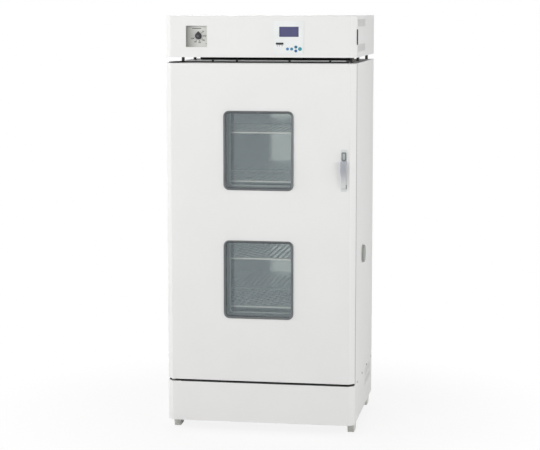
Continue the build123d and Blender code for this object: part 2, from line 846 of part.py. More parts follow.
with BuildPart() as window_panes:
    with BuildSketch(front_plane(front_y + glass_front + glass_thickness)):
        window_shapes(glass_inset)
    extrude(amount=glass_thickness)
    with BuildSketch(front_plane(tunnel_back_y)):
        window_shapes(glass_inset + liner_sheet + fit_gap)
    extrude(amount=glass_thickness)
keep(window_panes, "window_panes")

with BuildPart() as window_tunnels:
    with BuildSketch(front_plane(tunnel_back_y)):
        window_shapes(glass_inset)
    extrude(amount=tunnel_back_y - tunnel_front_y)
    with BuildSketch(front_plane(tunnel_back_y)):
        window_shapes(glass_inset + liner_sheet)
    extrude(amount=tunnel_back_y - tunnel_front_y, mode=Mode.SUBTRACT)
keep(window_tunnels, "window_tunnels")

with BuildPart() as door_gasket:
    seal_low = chamber_bottom - gasket_margin
    seal_high = chamber_top + gasket_margin
    with BuildSketch(front_plane(body_front_y - fit_gap)):
        area(
            (-seal_inner - gasket_width, seal_inner + gasket_width),
            (seal_low - gasket_width, seal_high + gasket_width),
            plug_radius + gasket_width,
        )
        area((-seal_inner, seal_inner), (seal_low, seal_high), plug_radius, Mode.SUBTRACT)
    extrude(amount=door_gap - fit_gap)
keep(door_gasket, "door_gasket")

# Handle: a base plate with the button's well and the latch pivot, a bowed grip and a push button
button_radius = 4
base_radius = 5
ear_gap = 0.5
ear_thickness = 3
ear_half_height = 9
ear_depth = 22
with BuildPart() as handle_base:
    with BuildSketch(front_plane(front_y)):
        with Locations((handle_x, handle_z)):
            RectangleRounded(handle_width, handle_length, base_radius)
    extrude(amount=handle_plate)
    with BuildSketch(front_plane(front_y + well_depth)):
        with Locations((handle_x, button_z)):
            Rectangle(button_width + 2 * well_wall, button_height + 2 * well_wall)
    extrude(amount=well_depth)
    for side in (-1, 1):
        ear_start = tongue_width / 2 + ear_gap
        ear = sorted((handle_x + side * ear_start, handle_x + side * (ear_start + ear_thickness)))
        with BuildSketch(side_plane(ear[0])):
            area(
                (front_y + sheet + fit_gap, front_y + ear_depth),
                (latch_z - ear_half_height, button_z - button_height / 2),
            )
        extrude(amount=ear_thickness)
    with BuildSketch(side_plane(handle_x - tongue_width / 2 - ear_gap)):
        with Locations((latch_y, latch_z)):
            Circle(latch_pin_radius)
    extrude(amount=tongue_width + 2 * ear_gap)
    with BuildSketch(front_plane(front_y + well_depth)):
        with Locations((handle_x, button_z)):
            RectangleRounded(button_width + 2 * fit_gap, button_height + 2 * fit_gap, button_radius)
    extrude(amount=well_depth + handle_plate, mode=Mode.SUBTRACT)
keep(handle_base, "handle_base")

grip_end_inset = 4
grip_brow = 2
grip_bow = 0.25
hollow_bow = 0.2
grip_top = button_z - button_height / 2 - well_wall - fit_gap
grip_bottom = handle_z - handle_length / 2 + grip_end_inset
grip_middle = (grip_top + grip_bottom) / 2
hollow_top = grip_top - grip_foot
hollow_bottom = grip_bottom + 2 * grip_foot
plate_y = front_y - handle_plate
tip_y = front_y - handle_proud
grip_low_y = plate_y - grip_thickness
hollow_y = tip_y + grip_thickness
with BuildPart() as handle_grip:
    with BuildSketch(side_plane(handle_x - handle_width / 2)):
        with BuildLine():
            Line((plate_y, grip_top), (tip_y + grip_brow, grip_top))
            ThreePointArc(
                (tip_y + grip_brow, grip_top),
                (tip_y + (grip_low_y - tip_y) * grip_bow, grip_middle),
                (grip_low_y, grip_bottom),
            )
            Polyline((grip_low_y, grip_bottom), (plate_y, grip_bottom), (plate_y, grip_top))
        make_face()
        with BuildLine():
            Line((plate_y, hollow_top), (hollow_y, hollow_top))
            ThreePointArc(
                (hollow_y, hollow_top),
                (hollow_y + (grip_low_y - tip_y) * hollow_bow, grip_middle),
                (plate_y - grip_brow, hollow_bottom),
            )
            Polyline((plate_y - grip_brow, hollow_bottom), (plate_y, hollow_bottom), (plate_y, hollow_top))
        make_face(mode=Mode.SUBTRACT)
    extrude(amount=handle_width)
    with BuildSketch(front_plane(front_y)):
        with BuildLine():
            top_half, low_half = handle_width / 2, grip_lower_width / 2
            Polyline(
                (handle_x - top_half, grip_top),
                (handle_x + top_half, grip_top),
                (handle_x + low_half, grip_bottom),
                (handle_x - low_half, grip_bottom),
                (handle_x - top_half, grip_top),
            )
        make_face()
    extrude(amount=2 * handle_proud, mode=Mode.INTERSECT)
keep(handle_grip, "handle_grip")

stem_radius = 3
stem_gap = 0.5
stem_reach = well_depth + 1
button_back = 3
button_bevel = 1
with BuildPart() as release_button:
    with BuildSketch(front_plane(front_y + button_back)):
        with Locations((handle_x, button_z)):
            RectangleRounded(button_width, button_height, button_radius - fit_gap)
    extrude(amount=button_back + handle_plate + button_proud)
    chamfer(release_button.faces().sort_by(Axis.Y)[0].edges(), button_bevel)
    with BuildSketch(front_plane(front_y + stem_reach)):
        with Locations((handle_x, button_z)):
            Circle(stem_radius)
    extrude(amount=stem_reach - button_back)
keep(release_button, "release_button")

arm_front = stem_reach + stem_gap
arm_thickness = 4
with BuildPart() as latch_tongue:
    with BuildSketch(side_plane(handle_x - tongue_width / 2)):
        with Locations((latch_y, latch_z)):
            Circle(latch_hub_radius)
        area(
            (front_y + arm_front, front_y + arm_front + arm_thickness),
            (latch_z, button_z + stem_radius + 1),
        )
        area((front_y + arm_front, latch_y), (latch_z, latch_z + arm_thickness))
        area((latch_y, front_y + tongue_end_depth), (latch_z - tongue_height / 2, nose_top))
        with Locations((latch_y, latch_z)):
            Circle(latch_pin_radius + running_gap, mode=Mode.SUBTRACT)
    extrude(amount=tongue_width)
keep(latch_tongue, "latch_tongue")

# Head: a base pan on posts, a front cover, a wrapped cover and a rear panel
head_cover_y = body_front_y
vent_count = 18
vent_pitch = 15
vent_size = (6, 28)
vent_middle_depth = 182
vent_rises = (36, 133)
post_radius = 6
post_inset = 60
neck_insets = (55, 72, 90)
neck_depth = 145
neck_x = (neck_insets[0] - half_width, half_width - neck_insets[1])
neck_y = (rear_y - neck_insets[2] - neck_depth, rear_y - neck_insets[2])
post_rows = (front_y + post_inset, 0, rear_y - post_inset)
left_post_insets = (59, 51, 40)
right_post_insets = (23, 30, 24)
post_places = [(inset - half_width, y) for inset, y in zip(left_post_insets, post_rows)]
post_places += [(half_width - inset, y) for inset, y in zip(right_post_insets, post_rows)]

with BuildPart() as head_posts:
    with BuildSketch(Plane.XY.offset(cabinet_top)):
        with Locations(*post_places):
            Circle(post_radius)
    extrude(amount=head_gap)
keep(head_posts, "head_posts")

with BuildPart() as neck_box:
    block(neck_x, neck_y, (cabinet_top, head_bottom))
    block(
        (neck_x[0] + sheet, neck_x[1] - sheet),
        (neck_y[0] + sheet, neck_y[1] - sheet),
        (cabinet_top, head_bottom),
        Mode.SUBTRACT,
    )
keep(neck_box, "neck_box")

with BuildPart() as head_base:
    base_rear_y = rear_y - sheet - fit_gap
    with BuildSketch(Plane.XY.offset(head_bottom)):
        casing_plan(cover_wall + fit_gap, base_rear_y)
    extrude(amount=flange)
    with BuildSketch(Plane.XY.offset(head_bottom + sheet)):
        casing_plan(cover_wall + fit_gap + sheet, base_rear_y - sheet)
    extrude(amount=flange, mode=Mode.SUBTRACT)
keep(head_base, "head_base")

breaker_depths = (24, 41)
breaker_rises = (53, 105)
breaker_y = (front_y + breaker_depths[0], front_y + breaker_depths[1])
breaker_z = (head_bottom + breaker_rises[0], head_bottom + breaker_rises[1])
dial_place = (dial_inset - half_width, head_bottom + dial_rise)
panel_place = (half_width - panel_inset, head_bottom + panel_rise)

with BuildPart() as head_front_cover:
    with BuildSketch(Plane.XY.offset(head_bottom)):
        casing_plan(0, head_cover_y)
    extrude(amount=head_height)
    top_rim = head_front_cover.edges().group_by(Axis.Z)[-1]
    fillet(top_rim.filter_by(lambda edge: edge.center().Y < head_cover_y - edge_round), edge_round)
    with BuildSketch(Plane.XY.offset(head_bottom)):
        casing_plan(cover_wall, head_cover_y)
    extrude(amount=head_height - cover_wall, mode=Mode.SUBTRACT)
    with BuildSketch(front_plane(front_y + cover_wall)):
        with Locations(dial_place):
            Rectangle(dial_width, dial_height)
        with Locations(panel_place):
            Rectangle(panel_width - 2 * panel_lip, panel_height - 2 * panel_lip)
    extrude(amount=cover_wall, mode=Mode.SUBTRACT)
    with BuildSketch(side_plane(half_width - cover_wall)):
        area(breaker_y, breaker_z)
    extrude(amount=cover_wall, mode=Mode.SUBTRACT)
keep(head_front_cover, "head_front_cover")

with BuildPart() as head_top_cover:
    block((-half_width, half_width), (head_cover_y, rear_y), (head_bottom, head_top))
    block(
        (sheet - half_width, half_width - sheet),
        (head_cover_y, rear_y),
        (head_bottom, head_top - sheet),
        Mode.SUBTRACT,
    )
    with BuildSketch(side_plane(-half_width)):
        for rise in vent_rises:
            with Locations((front_y + vent_middle_depth, head_bottom + rise)):
                with GridLocations(vent_pitch, 1, vent_count, 1):
                    Rectangle(*vent_size)
    extrude(amount=casing_width, mode=Mode.SUBTRACT)
keep(head_top_cover, "head_top_cover")

gland_rise = 45
gland_place = (dial_inset - half_width, head_bottom + gland_rise)
gland_bore = 6
gland_body = 10
gland_nut = 14
gland_reach = 22
gland_bore_depth = 20
gland_lock = 6
with BuildPart() as head_rear_panel:
    with BuildSketch(front_plane(rear_y)):
        area(
            (sheet + fit_gap - half_width, half_width - sheet - fit_gap),
            (head_bottom, head_top - sheet - fit_gap),
        )
        with Locations(gland_place):
            Circle(gland_body + fit_gap, mode=Mode.SUBTRACT)
    extrude(amount=sheet)
keep(head_rear_panel, "head_rear_panel")

with BuildPart() as inlet_gland:
    with BuildSketch(front_plane(rear_y + gland_reach)):
        with Locations(gland_place):
            Circle(gland_body)
    extrude(amount=gland_reach + 2 * gland_body)
    with BuildSketch(front_plane(rear_y + gland_body)):
        with Locations(gland_place):
            RegularPolygon(gland_nut, 6)
    extrude(amount=gland_body)
    with BuildSketch(front_plane(rear_y - sheet)):
        with Locations(gland_place):
            RegularPolygon(gland_nut, 6)
    extrude(amount=gland_lock)
    with BuildSketch(front_plane(rear_y + gland_reach)):
        with Locations(gland_place):
            Circle(gland_bore)
    extrude(amount=gland_bore_depth, mode=Mode.SUBTRACT)
keep(inlet_gland, "inlet_gland")

# Over-temperature dial: a recessed dish with the thermostat behind it, and its knob
dish_wall = 1.5
dish_floor = 2
dish_y = front_y + dial_recess
knob_place = (dial_place[0] + knob_shift[0], dial_place[1] + knob_shift[1])
knob_shaft = 3
thermostat_size = (42, 42, 26)
knob_proud = 6
knob_skirt = 4
knob_shoulder = knob_radius / 2**0.5
knob_step = 2
knob_taper = 6
knob_reach = dial_recess + knob_proud - knob_skirt
pointer_width = 3
pointer_rise = 1
with BuildPart() as dial_plate:
    with BuildSketch(front_plane(dish_y + dish_floor)):
        with Locations(dial_place):
            Rectangle(dial_width - 2 * fit_gap, dial_height - 2 * fit_gap)
    extrude(amount=dial_recess + dish_floor)
    with BuildSketch(front_plane(dish_y)):
        with Locations(dial_place):
            Rectangle(
                dial_width - 2 * (fit_gap + dish_wall), dial_height - 2 * (fit_gap + dish_wall)
            )
    extrude(amount=dial_recess, mode=Mode.SUBTRACT)
    with BuildSketch(front_plane(dish_y + dish_floor + thermostat_size[2])):
        with Locations(knob_place):
            Rectangle(*thermostat_size[:2])
    extrude(amount=thermostat_size[2])
    with BuildSketch(front_plane(dish_y + thermostat_size[2])):
        with Locations(knob_place):
            Circle(knob_shaft + running_gap)
    extrude(amount=casing_depth / 2, mode=Mode.SUBTRACT)
keep(dial_plate, "dial_plate")

with BuildPart() as dial_knob:
    with BuildSketch(front_plane(dish_y - fit_gap)):
        with Locations(knob_place):
            Circle(knob_radius)
        with BuildLine():
            Polyline(
                (knob_place[0] - knob_shoulder, knob_place[1] + knob_shoulder),
                (knob_place[0], knob_place[1] + 2 * knob_shoulder),
                (knob_place[0] + knob_shoulder, knob_place[1] + knob_shoulder),
                close=True,
            )
        make_face()
    extrude(amount=knob_skirt)
    with BuildSketch(front_plane(dish_y - fit_gap - knob_skirt)):
        with Locations(knob_place):
            Circle(knob_radius - knob_step)
    extrude(amount=knob_reach, taper=knob_taper)
    with BuildSketch(front_plane(dish_y - fit_gap - knob_skirt)):
        with Locations((knob_place[0], knob_place[1] + knob_radius / 2)):
            Rectangle(pointer_width, knob_radius)
    extrude(amount=knob_reach + pointer_rise)
    with BuildSketch(front_plane(dish_y + thermostat_size[2] - 1)):
        with Locations(knob_place):
            Circle(knob_shaft)
    extrude(amount=thermostat_size[2])
keep(dial_knob, "dial_knob")

# Control panel: a bezel with a screen, a card slot and five keys, and the board behind it
screen_place = (panel_place[0] + 1, panel_place[1] + screen_rise)
card_slot = (29, 9)
card_slot_place = (panel_place[0] - 35, panel_place[1] - 25)
card_slot_depth = 4
screen_ledge = 2
key_middle = (panel_place[0] + 28, panel_place[1] - key_row_drop)
key_places = {
    "key_left": (key_middle[0] - 2 * key_pitch, key_middle[1]),
    "key_right": (key_middle[0] - key_pitch, key_middle[1]),
    "key_up": (key_middle[0], key_middle[1] + key_split),
    "key_down": (key_middle[0], key_middle[1] - key_split),
    "key_enter": (key_middle[0] + key_pitch, key_middle[1]),
}
key_radii = {name: enter_radius if name == "key_enter" else key_radius for name in key_places}
panel_back_y = front_y + panel_depth
with BuildPart() as panel_bezel:
    with BuildSketch(front_plane(front_y)):
        with Locations(panel_place):
            RectangleRounded(panel_width, panel_height, panel_radius)
    extrude(amount=panel_proud)
    with BuildSketch(front_plane(panel_back_y)):
        with Locations(panel_place):
            Rectangle(
                panel_width - 2 * (panel_lip + fit_gap), panel_height - 2 * (panel_lip + fit_gap)
            )
    extrude(amount=panel_depth)
    with BuildSketch(front_plane(panel_back_y)):
        with Locations(screen_place):
            Rectangle(screen_width, screen_height)
        for key_name, place in key_places.items():
            with Locations(place):
                Circle(key_radii[key_name] + fit_gap)
    extrude(amount=panel_depth + panel_proud, mode=Mode.SUBTRACT)
    with BuildSketch(front_plane(panel_back_y)):
        with Locations(screen_place):
            Rectangle(screen_width + 2 * screen_ledge, screen_height + 2 * screen_ledge)
    extrude(amount=panel_depth - panel_proud, mode=Mode.SUBTRACT)
    with BuildSketch(front_plane(front_y - panel_proud + card_slot_depth)):
        with Locations(card_slot_place):
            Rectangle(*card_slot)
    extrude(amount=card_slot_depth, mode=Mode.SUBTRACT)
keep(panel_bezel, "panel_bezel")

with BuildPart() as screen_window:
    with BuildSketch(front_plane(panel_back_y - fit_gap)):
        with Locations(screen_place):
            Rectangle(
                screen_width + 2 * (screen_ledge - fit_gap), screen_height + 2 * (screen_ledge - fit_gap)
            )
    extrude(amount=panel_depth - panel_proud - 2 * fit_gap)
keep(screen_window, "screen_window")

switch_gap = key_travel + 2 * fit_gap
key_back_y = panel_back_y + key_travel
for key_name, place in key_places.items():
    with BuildPart() as key:
        with BuildSketch(front_plane(key_back_y)):
            with Locations(place):
                Circle(key_radii[key_name])
        extrude(amount=key_back_y - front_y + panel_proud + key_proud)
        chamfer(key.faces().sort_by(Axis.Y)[0].edges(), key_proud / 2)
    keep(key, key_name)

board_standoff = 5
board_thickness = 1.6
board_y = panel_back_y + board_standoff
board_margin = 6
standoff_inset = (16, 35)
with BuildPart() as control_board:
    with BuildSketch(front_plane(board_y + board_thickness)):
        with Locations(panel_place):
            Rectangle(
                panel_width - 2 * (panel_lip + board_margin), panel_height - 2 * (panel_lip + board_margin)
            )
    extrude(amount=board_thickness)
    with BuildSketch(front_plane(board_y)):
        with Locations(panel_place):
            with GridLocations(
                panel_width - 2 * standoff_inset[0], panel_height - 2 * standoff_inset[1], 2, 2
            ):
                Circle(board_margin / 2)
    extrude(amount=board_standoff)
    with BuildSketch(front_plane(board_y)):
        with Locations(*key_places.values()):
            Circle(key_radius / 2)
    extrude(amount=board_y - key_back_y - switch_gap)
    with BuildSketch(front_plane(board_y)):
        with Locations(screen_place):
            Rectangle(screen_width, screen_height)
    extrude(amount=board_standoff - fit_gap)
keep(control_board, "control_board")

# Breaker on the right of the head, with its lever in a recess
breaker_wall = 4
breaker_deep = 34
lever_set_in = 17
lever_axis_x = half_width - lever_set_in
lever_hub = 8
lever_pin = 2
lever_thickness = 5
lever_width = 7
lever_tilt = 12
breaker_mid = ((breaker_y[0] + breaker_y[1]) / 2, (breaker_z[0] + breaker_z[1]) / 2)
breaker_face_x = half_width - cover_wall - fit_gap
with BuildPart() as breaker_body:
    with BuildSketch(side_plane(half_width - breaker_deep)):
        area(
            (breaker_y[0] + fit_gap, head_cover_y - fit_gap),
            (breaker_z[0] - breaker_wall, breaker_z[1] + breaker_wall),
        )
    extrude(amount=breaker_deep - cover_wall - fit_gap)
    with BuildSketch(side_plane(breaker_face_x)):
        area(
            (breaker_y[0] + fit_gap, breaker_y[1] - fit_gap),
            (breaker_z[0] + fit_gap, breaker_z[1] - fit_gap),
        )
    extrude(amount=cover_wall)
    with BuildSketch(side_plane(lever_axis_x - lever_hub - 1)):
        area(
            (breaker_y[0] + breaker_wall, breaker_y[1] - breaker_wall),
            (breaker_z[0] + breaker_wall, breaker_z[1] - breaker_wall),
        )
    extrude(amount=lever_hub + 2 * breaker_deep, mode=Mode.SUBTRACT)
    with BuildSketch(front_plane(breaker_y[1] - breaker_wall + lever_pin)):
        with Locations((lever_axis_x, breaker_mid[1])):
            Circle(lever_pin + running_gap)
    extrude(amount=breaker_y[1] - breaker_y[0] - 2 * (breaker_wall - lever_pin), mode=Mode.SUBTRACT)
keep(breaker_body, "breaker_body")

with BuildPart() as breaker_lever:
    with BuildSketch(front_plane(breaker_mid[0] + lever_width / 2)):
        with Locations((lever_axis_x, breaker_mid[1])):
            Circle(lever_hub)
            with Locations(Rotation(0, 0, lever_tilt)):
                with Locations((lever_hub, 0)):
                    Rectangle(2 * lever_hub - 2, lever_thickness)
    extrude(amount=lever_width)
    with BuildSketch(front_plane(breaker_y[1] - breaker_wall + lever_pin - fit_gap)):
        with Locations((lever_axis_x, breaker_mid[1])):
            Circle(lever_pin)
    extrude(amount=breaker_y[1] - breaker_y[0] - 2 * (breaker_wall - lever_pin + fit_gap))
keep(breaker_lever, "breaker_lever")

# Fasteners: foot bolts, and screws on the side, rear and head panels
bolt_head = (8, 5)
screw_head = (4, 1.8)
side_screw_insets = (105, 27)
side_screw_count = 4
rear_screw_inset = 14
side_screw_middle = (front_y + side_screw_insets[0] + rear_y - side_screw_insets[1]) / 2
side_screw_pitch = (casing_depth - sum(side_screw_insets)) / (side_screw_count - 1)
rear_screw_x = half_width - rear_screw_inset
rear_screw_zs = (
    foot_height + rear_screw_inset,
    (foot_height + cabinet_top) / 2,
    cabinet_top - rear_screw_inset,
    head_bottom + rear_screw_inset,
    head_top - rear_screw_inset,
)
with BuildPart() as fasteners:
    with BuildSketch(Plane.XY.offset(foot_height)):
        with Locations(*foot_places):
            Circle(foot_bolt_radius)
    extrude(amount=cover_wall)
    with BuildSketch(Plane.XY.offset(foot_height + cover_wall)):
        with Locations(*foot_places):
            RegularPolygon(bolt_head[0], 6)
    extrude(amount=bolt_head[1])
    for side in (-1, 1):
        with BuildSketch(side_plane(side * half_width)):
            with Locations((side_screw_middle, plinth_top - screw_head[0] / 4)):
                with GridLocations(side_screw_pitch, 1, side_screw_count, 1):
                    Circle(screw_head[0])
        extrude(amount=side * screw_head[1])
    with BuildSketch(front_plane(rear_y)):
        with Locations(*[(side * rear_screw_x, z) for side in (-1, 1) for z in rear_screw_zs]):
            Circle(screw_head[0])
    extrude(amount=-screw_head[1])
keep(fasteners, "fasteners")
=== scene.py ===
import math
import bpy
import bmesh
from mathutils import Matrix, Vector


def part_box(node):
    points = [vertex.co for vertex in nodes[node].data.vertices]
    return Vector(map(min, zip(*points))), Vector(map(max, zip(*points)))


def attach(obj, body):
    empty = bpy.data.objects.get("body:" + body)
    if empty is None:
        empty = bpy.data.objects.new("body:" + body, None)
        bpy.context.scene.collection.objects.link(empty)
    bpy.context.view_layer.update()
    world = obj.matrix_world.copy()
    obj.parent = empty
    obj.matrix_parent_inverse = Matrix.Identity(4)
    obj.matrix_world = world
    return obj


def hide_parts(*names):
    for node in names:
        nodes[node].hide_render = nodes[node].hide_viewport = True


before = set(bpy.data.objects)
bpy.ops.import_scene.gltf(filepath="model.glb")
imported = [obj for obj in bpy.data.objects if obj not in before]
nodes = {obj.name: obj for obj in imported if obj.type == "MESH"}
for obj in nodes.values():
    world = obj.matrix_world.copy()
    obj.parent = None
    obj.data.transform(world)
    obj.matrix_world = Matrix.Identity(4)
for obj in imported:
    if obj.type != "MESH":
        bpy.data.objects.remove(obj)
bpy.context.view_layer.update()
mm = 0.001


def linear(code, alpha=1.0):
    # sRGB hex code to the linear values that a node socket holds
    channels = [int(code[i:i + 2], 16) / 255 for i in (1, 3, 5)]
    return [c / 12.92 if c <= 0.04045 else ((c + 0.055) / 1.055) ** 2.4 for c in channels] + [alpha]


def addNode(tree, kind, values=None, links=None, **settings):
    made = tree.nodes.new("ShaderNode" + kind)
    for name, value in settings.items():
        setattr(made, name, value)
    for name, value in (values or {}).items():
        made.inputs[name].default_value = value
    for name, source in (links or {}).items():
        tree.links.new(source, made.inputs[name])
    return made


def newMaterial(name):
    material = bpy.data.materials.new(name)
    material.use_nodes = True
    material.node_tree.nodes.clear()
    return material, material.node_tree


# Finishes. Sizes are in millimetres: grain is the fine pattern that the process leaves, drawn out by stretch,
# relief is its depth, and cloud is the width of the slow changes that handling and baking leave. Brushed
# scratches, the texture of moulds and the grain of inks are 0.05 to 0.2 mm wide, and are drawn coarser so
# that they show at all. With cells the grain is one of crystals or pores, fineShare is how much it adds to
# the tone, and strength is how far the relief turns the light.
usualLook = {
    "stretch": (1, 1, 1), "cells": False, "cloud": 120, "fineShare": 0.5, "strength": 0.6, "metal": 0.0,
}


def coat(material, look, colour, tone, fine):
    # gives a material its colour, a roughness that follows tone and a relief that follows fine
    tree = material.node_tree
    rough = addNode(tree, "MapRange", {"To Min": look["rough"][0], "To Max": look["rough"][1]},
                    {"Value": tone})
    bump = addNode(tree, "Bump", {"Strength": look["strength"], "Distance": look["relief"] * mm},
                   {"Height": fine})
    shader = addNode(tree, "BsdfPrincipled", {"Metallic": look["metal"]}, {
        "Base Color": colour, "Roughness": rough.outputs[0], "Normal": bump.outputs[0],
    })
    addNode(tree, "OutputMaterial", links={"Surface": shader.outputs[0]})
    return material


def surface(name, ownLook):
    look = {**usualLook, **ownLook}
    material, tree = newMaterial(name)
    place = addNode(tree, "TexCoord").outputs["Object"]
    scale = [1 / (look["grain"] * mm * s) for s in look["stretch"]]
    spread = addNode(tree, "Mapping", {"Scale": scale}, {"Vector": place}).outputs[0]
    if look["cells"]:
        fine = addNode(tree, "TexVoronoi", {"Scale": 1.0}, {"Vector": spread}).outputs["Distance"]
    else:
        fine = addNode(tree, "TexNoise", {"Scale": 1.0, "Detail": 3.0}, {"Vector": spread}).outputs["Fac"]
    cloud = addNode(tree, "TexNoise", {"Scale": 1 / (look["cloud"] * mm), "Detail": 2.0}, {"Vector": place})
    fineShare = addNode(tree, "Math", {1: look["fineShare"]}, {0: fine}, operation="MULTIPLY")
    tone = addNode(tree, "Math", operation="ADD", links={0: cloud.outputs["Fac"], 1: fineShare.outputs[0]})
    colour = addNode(tree, "Mix", {6: linear(look["dark"]), 7: linear(look["light"])},
                     {"Factor": tone.outputs[0]}, data_type="RGBA")
    return coat(material, look, colour.outputs[2], tone.outputs[0], fine)


# polyester powder coat baked on sheet steel: satin white with a faint orange peel and hardly any cloud
powderCoat = surface("powderCoat", {
    "dark": "#E5E5E4", "light": "#EBEBEA", "rough": (0.5, 0.58), "grain": 1.4, "relief": 0.03, "cloud": 260,
})
# hot dip galvanised sheet: dull grey with the crystals of the zinc, about 9 mm across
galvanised = surface("galvanised", {
    "dark": "#7C8082", "light": "#A1A5A6", "rough": (0.38, 0.55), "grain": 9, "relief": 0.01, "metal": 0.8,
    "cells": True, "fineShare": 0.9,
})
# black stoved enamel on pressed sheet: deep and nearly matt; its black is partly painted shade in the gap
# under the head and beside the door's hinges
blackEnamelAndShade = surface("blackEnamelAndShade", {
    "dark": "#151515", "light": "#20201F", "rough": (0.5, 0.65), "grain": 1.2, "relief": 0.03,
})
# stainless sheet brushed upright: long scratches, drawn 0.6 mm apart so that they show, pull reflections
# sideways
brushedStainless = surface("brushedStainless", {
    "dark": "#9A9E9E", "light": "#B7BBBA", "rough": (0.24, 0.36), "grain": 0.6, "stretch": (1, 1, 60),
    "relief": 0.01, "metal": 0.9, "cloud": 260,
})
# brushed stainless on the flat of the shelves, darkened as painted shade: hardly lighter than the chamber
# round it
shadedShelfStainless = surface("shadedShelfStainless", {
    "dark": "#6E716D", "light": "#7F827D", "rough": (0.4, 0.52), "grain": 0.6, "stretch": (60, 1, 1),
    "relief": 0.01, "metal": 0.85,
})
# folded stainless sheet of the window tunnels, darkened as painted shade of the recess: stays dim behind the
# glass
shadedTunnelStainless = surface("shadedTunnelStainless", {
    "dark": "#5A5E5F", "light": "#6C7070", "rough": (0.42, 0.55), "grain": 0.8, "relief": 0.01, "metal": 0.8,
})
# stainless sheet brushed from side to side, for shelf edges and small parts: catches the light as pale lines
crossBrushed = surface("crossBrushed", {
    "dark": "#B4B5AE", "light": "#CFCFC6", "rough": (0.26, 0.38), "grain": 0.6, "stretch": (60, 1, 1),
    "relief": 0.01, "metal": 0.85, "cloud": 90,
})
# bright rolled stainless sheet of the duct: smooth enough to mirror the windows, with a slow waviness
brightStainless = surface("brightStainless", {
    "dark": "#8F9896", "light": "#A0A8A5", "rough": (0.05, 0.09), "grain": 0.8, "stretch": (1, 1, 80),
    "relief": 0.001, "metal": 1.0, "cloud": 200,
})
# zinc plated steel, chromated clear: bright grey with a fine tumbled grain
zincPlate = surface("zincPlate", {
    "dark": "#94979A", "light": "#B4B7B7", "rough": (0.28, 0.42), "grain": 1.2, "relief": 0.01, "metal": 1.0,
})
# blackened steel of the distance posts: dark brown-black with an oily sheen
blackenedSteel = surface("blackenedSteel", {
    "dark": "#2A2826", "light": "#3E3A36", "rough": (0.3, 0.45), "grain": 1.0, "relief": 0.01, "metal": 0.7,
})
# sintered bronze: open pores that make it dull
sinteredBronze = surface("sinteredBronze", {
    "dark": "#86673B", "light": "#A8854F", "rough": (0.42, 0.58), "grain": 0.5, "relief": 0.04, "metal": 1.0,
    "cells": True,
})
# glass wool slab: yellow fibres laid flat, fluffy and without any gloss
glassWool = surface("glassWool", {
    "dark": "#C2AF78", "light": "#E9E0B8", "rough": (0.88, 0.98), "grain": 2.2, "stretch": (7, 7, 1),
    "relief": 1.6, "strength": 0.9, "cloud": 40, "fineShare": 0.9,
})
# extruded silicone of the door's seal and the port's plug: soft grey, dusty looking
greySilicone = surface("greySilicone", {
    "dark": "#8F928E", "light": "#A2A5A0", "rough": (0.5, 0.66), "grain": 1.4, "relief": 0.02, "cloud": 50,
})
# moulded window rubber: mid grey with a slight bloom, silky where it slopes to the light
mouldedRubber = surface("mouldedRubber", {
    "dark": "#54585A", "light": "#616567", "rough": (0.34, 0.46), "grain": 1.0, "relief": 0.02, "cloud": 60,
})
# extruded black sponge rubber, which stands for painted shade in the strips under the door and on the
# cabinet's top and in the grooves round the glass: takes nearly all light
shadeBlackRubber = surface("shadeBlackRubber", {
    "dark": "#0E0E0E", "light": "#191919", "rough": (0.62, 0.78), "grain": 0.7, "relief": 0.05,
})
# dark grey strip of soft vinyl with a faint sheen, which stands for painted shade in the gap beside the door
gapShadeVinyl = surface("gapShadeVinyl", {
    "dark": "#3C3E3E", "light": "#484A4A", "rough": (0.45, 0.55), "grain": 0.8, "relief": 0.02,
})
# moulded polypropylene of the feet: light grey with an eroded, slightly rough face
mouldedPolypropylene = surface("mouldedPolypropylene", {
    "dark": "#D6D5D0", "light": "#E0DFDA", "rough": (0.5, 0.62), "grain": 0.9, "relief": 0.04,
})
# silver paint sprayed on the die cast handle base: pale, with a soft metallic gloss
silverPaint = surface("silverPaint", {
    "dark": "#CDD0CF", "light": "#D6D9D8", "rough": (0.32, 0.42), "grain": 0.5, "relief": 0.01, "metal": 0.25,
})
# moulded ABS of the button's pad and the mould marks: light grey and satin
greyAbs = surface("greyAbs", {
    "dark": "#A6ABAB", "light": "#B4B9B9", "rough": (0.36, 0.46), "grain": 0.7, "relief": 0.02,
})
# moulded ABS of the button's rim: darker as painted shade of the button's outline, so that the pad stands out
shadedRimAbs = surface("shadedRimAbs", {
    "dark": "#63686A", "light": "#707577", "rough": (0.4, 0.5), "grain": 0.7, "relief": 0.02,
})
# moulded black nylon with glass fibres, of knob, breaker, gland and clips: satin and slightly uneven
blackNylon = surface("blackNylon", {
    "dark": "#1A1B1C", "light": "#2A2B2C", "rough": (0.38, 0.52), "grain": 0.6, "relief": 0.03,
})
# moulded grey cap let into the knob: smoother and a little lighter than the knob
greyCap = surface("greyCap", {
    "dark": "#3A3C3D", "light": "#484A4B", "rough": (0.35, 0.45), "grain": 0.6, "relief": 0.01,
})
# screen printed inks: flat, thin and slightly matt, dark on the dial, pale blue on keys and grey on the panel
darkInk = surface("darkInk", {
    "dark": "#2C2E30", "light": "#3A3C3E", "rough": (0.5, 0.6), "grain": 0.4, "relief": 0.005,
})
paleInk = surface("paleInk", {
    "dark": "#4F93B3", "light": "#5E9FBC", "rough": (0.5, 0.6), "grain": 0.4, "relief": 0.005,
})
greyInk = surface("greyInk", {
    "dark": "#B2B6B6", "light": "#BFC3C3", "rough": (0.5, 0.6), "grain": 0.4, "relief": 0.005,
})
# textured polyester film over the control panel: pale, with the soft gloss of a membrane keypad
polyesterFilm = surface("polyesterFilm", {
    "dark": "#E6E9E8", "light": "#ECEFEE", "rough": (0.22, 0.3), "grain": 0.5, "relief": 0.005,
})
# glass epoxy board under a screened solder mask: green and half glossy
epoxyBoard = surface("epoxyBoard", {
    "dark": "#1C5A34", "light": "#267042", "rough": (0.3, 0.45), "grain": 1.5, "relief": 0.02,
})
